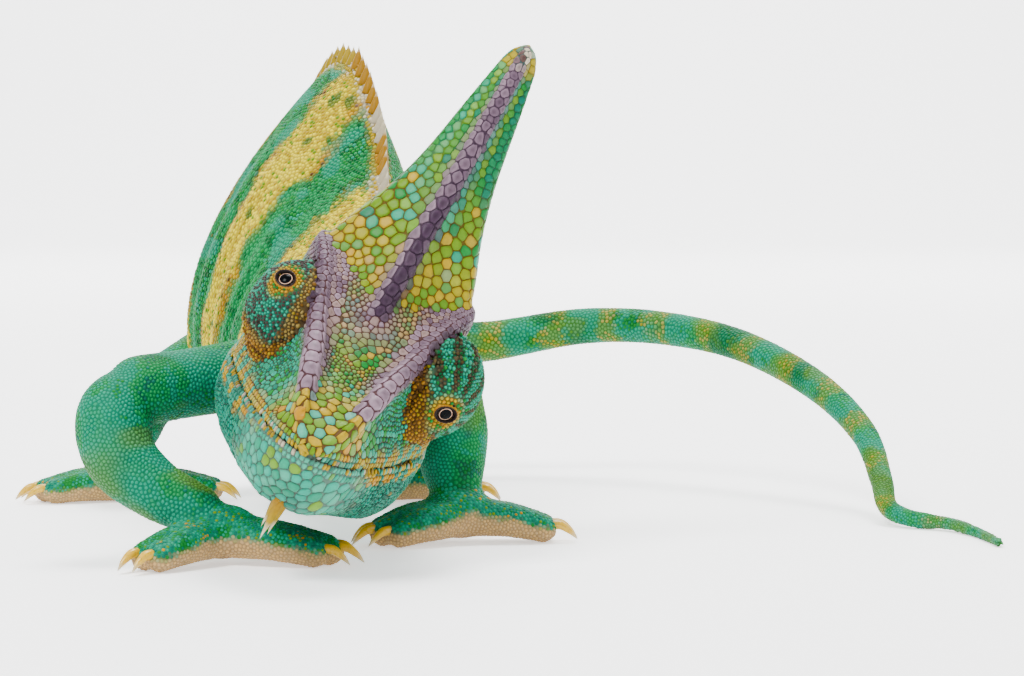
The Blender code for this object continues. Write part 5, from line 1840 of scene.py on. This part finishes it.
@dataclass
class Eye:
    """An eyeball behind its lid: black, with a thin pale ring round the pupil.

    Attributes:
        side: left or right.
        head: gives the turret.
        stand: gives the row frame.
        out: how far the ball stands past the turret's radius.
        columns, lid_columns: points round the ball and round the lid.
        lid_inner, lid_outer: radii of the lid's rim.
        lid_height, lid_squash: half its thickness along the gaze, and its height as a share of its width.
        pleats, pleat_depth: the fine folds round it.
    """

    side: str
    head: Head
    stand: Stand
    out: float = 0.40
    columns: int = 64
    lid_columns: int = 96
    lid_inner: float = 1.42
    lid_outer: float = 2.15
    lid_height: float = 0.62
    lid_squash: float = 0.8
    pleats: int = 22
    pleat_depth: float = 0.045

    def __post_init__(self) -> None:
        """Finds the directions of the gaze."""
        self.centre, self.gaze, self.across, self.up = self.head.turret_axes(self.side)

    def ahead(self, reach: Array | float) -> Array:
        """Points on the gaze this far from the turret's middle, in the head."""
        return self.centre + self.gaze * np.array(self.head.turret_shape) * np.reshape(reach, (-1, 1))

    def turned(self, profile: Array, columns: int, squash: float = 1.0) -> Array:
        """A profile of (radius, distance from the turret's middle) turned about the gaze.

        Args:
            profile: the rows.
            columns: points round it.
            squash: its height as a share of its width.

        Returns:
            Rows x columns x 3 positions in the standing frame.
        """
        turn = once_round(columns)
        ring = np.cos(turn)[:, None] * self.across + squash * np.sin(turn)[:, None] * self.up
        return self.head.out(self.ahead(profile[:, 1])[:, None] + ring[None] * profile[:, 0][:, None, None])

    def ball(self) -> None:
        """The eyeball, a sphere turned about the gaze with the pupil and its pale ring in rings."""
        tilt = np.concatenate([np.linspace(0.004, 1.1, 56), np.linspace(1.15, math.pi - 0.004, 16)])
        radius = self.head.ball_radius
        reach = self.head.turret_radius + self.out - radius
        profile = np.column_stack([radius * np.sin(tilt), reach + radius * np.cos(tilt)])
        colour = ramp(
            np.where(tilt < 1.5, profile[:, 0], 9.0),
            [(0.0, srgb("020304")), (0.93, srgb("040508")), (0.96, srgb("A88068")), (1.02, srgb("C8A890")),
             (1.06, srgb("1D120D")), (1.3, srgb("0A0706")), (9.0, srgb("0A0706"))],
        )
        quads = ring_quads(len(tilt), self.columns)[:, ::-1]
        points = self.stand.to_row(self.turned(profile, self.columns).reshape(-1, 3))
        tint = np.repeat(colour, self.columns, axis=0)
        made = dressed(f"eye_{self.side}", points, quads, tint, EYE_FINISH)
        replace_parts(made, f"eyeball_{self.side}")

    def lid(self) -> None:
        """The rim of the lid: a rounded ring with fine folds, dark inside and ochre outside."""
        out = self.head.turret_radius
        turn = np.linspace(-0.35 * math.pi, 1.25 * math.pi, 26)
        middle, thick = 0.5 * (self.lid_inner + self.lid_outer), 0.5 * (self.lid_outer - self.lid_inner)
        share = np.cos(turn)
        profile = np.column_stack([middle + thick * share, out - 0.30 + self.lid_height * np.sin(turn)])
        grid = self.turned(profile, self.lid_columns, self.lid_squash)
        pleat = np.sin(self.pleats * once_round(self.lid_columns)) * ease(share, -0.6, 0.6)[:, None]
        outwards = unit(grid - self.head.out(self.ahead(out - 0.5)))
        grid = grid + self.pleat_depth * outwards * pleat[..., None]
        colour = ramp(
            share,
            [(-1.0, Paint.DARK), (0.0, Paint.DARK), (0.3, Paint.BROWN), (0.6, Paint.OCHRE), (1.0, Paint.ORANGE)],
        )
        quads = ring_quads(len(turn), self.lid_columns)
        points = self.stand.to_row(grid.reshape(-1, 3))
        tint = np.repeat(colour, self.lid_columns, axis=0)
        dressed(f"lid_{self.side}", points, quads, tint, SCALE_FINISH)


def horns(
    name: str, items: list[tuple[Array, Array, Array]], columns: int, stand: Stand, finish: Finish
) -> bpy.types.Object:
    """Joins many tapering horns in one piece.

    Args:
        name: the piece's name.
        items: path, radii and a colour for each point of the path, for each horn.
        columns: points round each.
        stand: gives the row frame.
        finish: what their surface is like.

    Returns:
        The piece.
    """
    points, faces, tints, start = [], [], [], 0
    for path, radii, colour in items:
        own, quads, caps = Form(Region.TOES, tube_grid(path, radii, columns)).mesh()
        own[-1] = path[-1] + (path[-1] - path[-2]) * 0.6
        faces.append(np.vstack([quads[:, [0, 1, 2]], quads[:, [0, 2, 3]], caps])[:, ::-1] + start)
        points.append(own)
        tints.append(np.vstack([np.repeat(colour, columns, axis=0), colour[:1], colour[-1:]]))
        start += len(own)
    return dressed(name, stand.to_row(np.vstack(points)), np.vstack(faces), np.vstack(tints), finish)


def claws(stand: Stand) -> None:
    """Every claw in one piece, standing for their nodes: amber horn, pale at the tip."""
    items, names = [], []
    stops = [(0.0, Paint.OCHRE), (0.35, Paint.HORN), (0.75, Paint.HORN), (1.0, Paint.CREAM)]
    for limb in LIMBS:
        for name, path, radii in limb.claws():
            items.append((path, radii, ramp(np.linspace(0, 1, len(path)), stops)))
            names.append(name)
    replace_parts(horns("claws", items, 14, stand, HORN_FINISH), *names)


@dataclass
class Spines:
    """The crest of spines along the back, and the longer ones under the chin."""

    head: Head
    trunk: Trunk
    stand: Stand
    back_height: float = 2.0
    back_radius: float = 1.15
    back_root: float = 1.6
    back_count: int = 46
    throat_count: int = 11
    throat_length: float = 6.2

    @staticmethod
    def spine(root: Array, tip: Array, radius: float, bend: Array, colours: list) -> tuple[Array, Array, Array]:
        """One spine: a cone whose middle is pushed over by the bend, narrowing as a fang does.

        Args:
            root, tip: its ends.
            radius: its radius at the root.
            bend: how far its middle is pushed.
            colours: colours from root to tip.

        Returns:
            Its path, radii and colours.
        """
        t = np.linspace(0, 1, 9)[:, None]
        path = root * (1 - t) + tip * t + bend * (4 * t * (1 - t)) * 0.5
        radii = radius * np.clip(1 - t[:, 0] ** 1.6, 0.06, 1)
        return path, radii, ramp(t[:, 0], colours)

    def back(self) -> None:
        """The row along the back, evenly spaced by length, leaning to the rear."""
        fine = np.linspace(1.0, 7.9, 300)
        line = self.trunk.back(fine)[0]
        run = lengths(line)
        at = np.interp((np.arange(self.back_count) + 0.5) * run[-1] / self.back_count, run, fine)
        tops, ups = self.trunk.back(at)
        ahead = unit(np.gradient(tops, axis=0))
        items = []
        for i, (top, up, rear) in enumerate(zip(tops, ups, ahead)):
            size = 0.8 + 0.35 * scatter(np.array([[i, 3, 5]]), 9)[0]
            size = size * np.interp(at[i], [1, 2, 6, 7.9], [0.7, 1, 1, 0.6])
            warm = scatter(np.array([[i // 3, 1, 2]]), 4)[0]
            base = Paint.ORANGE * 0.6 if warm > 0.55 else (Paint.YELLOW * 0.7 if warm > 0.2 else Paint.CREAM * 0.6)
            stops = [(0.0, base), (0.75, base), (1.0, Paint.CREAM)]
            tip = top + up * self.back_height * size + rear * 0.8
            items.append(self.spine(top - up * self.back_root, tip, self.back_radius, -rear * 0.5, stops))
        horns("back_spines", items, 10, self.stand, SPINE_FINISH)

    def throat(self) -> None:
        """The row under the chin, longest in front, orange-yellow with white tips."""
        items = []
        stops = [
            (0.0, Paint.ORANGE * 0.62), (0.66, Paint.DULL_YELLOW), (0.8, Paint.CREAM), (1.0, Paint.CREAM * 1.3)
        ]
        bend = np.array([0.0, -0.5, 0.0]) @ self.head.axes
        for i in range(self.throat_count):
            share = i / (self.throat_count - 1)
            at = 19.0 - 38.0 * share
            bottom = float(through(self.head.jaw_at, self.head.jaw_bottom, np.array([at]))[0])
            long = self.throat_length * (1 - 0.55 * share)
            tuft = ((0.0, 1.0), (1.0, 0.85), (-1.0, 0.75)) if i < 2 else ((0.0, 1.0),)
            for side, shrink in tuft:
                root = self.head.out(np.array([0.55 * side, at - 0.5 * side, bottom + 1.6]))
                tip = self.head.out(np.array([0.7 * side, at - 0.6 - 0.6 * abs(side), bottom - long * shrink]))
                items.append(self.spine(root, tip, (0.95 - 0.25 * share) * shrink, bend, stops))
        horns("throat_spines", items, 12, self.stand, SPINE_FINISH)


# ---- studio


class Light(Enum):
    """The studio's lamps: place, aim, size and power."""

    KEY = ((-0.40, -0.62, 0.85), (0.0, -0.05, 0.03), 0.35, 18.0)
    FILL = ((0.80, -0.50, 0.40), (0.0, -0.05, 0.03), 0.7, 4.0)
    TOP = ((0.10, 0.25, 0.95), (0.0, 0.0, 0.0), 0.4, 14.0)
    BACKDROP = ((0.0, 1.5, 2.2), (0.0, 3.6, 0.6), 2.4, 260.0)


@dataclass
class Studio:
    """A white floor that curves up behind, soft lamps and the camera.

    Attributes:
        stand: gives the row frame.
        floor_depth, floor_bend: where the floor starts to rise, and the radius of the curve.
        camera_at: the camera's place in the standing frame.
        tipped_down: the camera's tilt in degrees.
        lens: its focal length in millimetres.
    """

    stand: Stand
    floor_depth: float = 3.0
    floor_bend: float = 1.2
    camera_at: tuple = (0.0, -441.0, 58.0)
    tipped_down: float = 2.778
    lens: float = 100.0

    def floor(self) -> None:
        """A sheet whose profile is level, then a quarter circle, then upright."""
        turn = np.linspace(0, 1, 40) * math.pi / 2
        deep, bend = self.floor_depth, self.floor_bend
        y = np.concatenate([[-4.0], deep + bend * np.sin(turn), [deep + bend]])
        z = np.concatenate([[0.0], bend * (1 - np.cos(turn)), [5.0]])
        x = np.linspace(-5, 5, 2)
        grid = np.stack(np.broadcast_arrays(x[None, :], y[:, None], z[:, None]), -1)
        at = np.arange(grid.shape[0] * 2).reshape(-1, 2)
        quads = np.stack([at[:-1, 0], at[:-1, 1], at[1:, 1], at[1:, 0]], -1)
        mesh = bpy.data.meshes.new("studio_floor")
        mesh.from_pydata(grid.reshape(-1, 3).tolist(), [], quads.tolist())
        mesh.shade_smooth()
        made = bpy.data.materials.new("studio_white")
        made.use_nodes = True
        fill_in(made.node_tree.nodes["Principled BSDF"], {
            "Base Color": (0.93, 0.93, 0.935, 1.0), "Roughness": 0.6, "Specular IOR Level": 0.2,
            "Emission Color": (1.0, 1.0, 1.0, 1.0), "Emission Strength": 0.8,
        })
        mesh.materials.append(made)
        put("studio_floor", mesh)

    def lamps(self) -> None:
        """Soft square lamps and an even pale sky."""
        for lamp in Light:
            place, aim, size, power = lamp.value
            data = bpy.data.lights.new(f"studio_{lamp.name.lower()}", "AREA")
            data.energy, data.size = power, size
            obj = put(data.name, data)
            obj.location = place
            obj.rotation_euler = (Vector(aim) - Vector(place)).to_track_quat("-Z", "Y").to_euler()
        sky = bpy.data.worlds.new("studio_sky")
        sky.use_nodes = True
        fill_in(sky.node_tree.nodes["Background"], {"Color": (1.0, 1.0, 1.0, 1.0), "Strength": 0.9})
        bpy.context.scene.world = sky

    def camera(self) -> None:
        """A long lens, low in front of the animal and tipped down a little."""
        data = bpy.data.cameras.new("camera")
        data.lens, data.sensor_width = self.lens, 36.0
        data.clip_start, data.clip_end = 0.01, 50.0
        obj = put("camera", data)
        obj.location = self.stand.to_row(np.array(self.camera_at))
        obj.rotation_euler = (math.radians(90 - self.tipped_down), 0.0, 0.0)
        bpy.context.scene.camera = obj

    def build(self) -> None:
        """Floor, lamps and camera."""
        self.floor()
        self.lamps()
        self.camera()


def main() -> None:
    """Builds the animal and its studio, in order, and reports each piece."""
    logging.basicConfig(level=logging.INFO, format="%(relativeCreated)d %(message)s")
    head, trunk, tail = Head(), Trunk(), Tail()
    stand = Stand(head)
    log.info("standing frame's middle: %s", stand.middle.round(2))
    forms = head.forms() + [trunk.form(), tail.form()]
    for limb in LIMBS:
        forms += limb.forms()
    skin = Skin(forms, head)
    skin.unwrap()
    log.info("skin unwrapped")
    markings = Markings(head)
    shade = markings.read(skin.points, skin.normal, skin.notes, np.full(len(skin.points), 0.35))
    shade = markings.groove(skin.points, skin.notes, shade)
    flesh = [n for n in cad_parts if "claw" not in n and not n.startswith("eyeball")]
    # Painted shade: the skin goes dark brown in the mouth line and in the seam round each eye turret, as far as the
    # crease is deep.
    shade = mix(shade, Paint.BROWN * 0.5, skin.fold)
    piece = dressed("skin", stand.to_row(skin.points), skin.quads, shade, SKIN_FINISH)
    layer = piece.data.uv_layers.new(name="OFBake")
    layer.data.foreach_set("uv", skin.chart.ravel())
    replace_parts(piece, *flesh)
    coat = Coat(skin, head, markings, stand)
    log.info("%d scales", len(coat.points))
    coat.pieces()
    for side in SIDES:
        eye = Eye(side, head, stand)
        eye.ball()
        eye.lid()
    claws(stand)
    spines = Spines(head, trunk, stand)
    spines.back()
    spines.throat()
    Studio(stand).build()


if __name__ == "__main__":
    main()
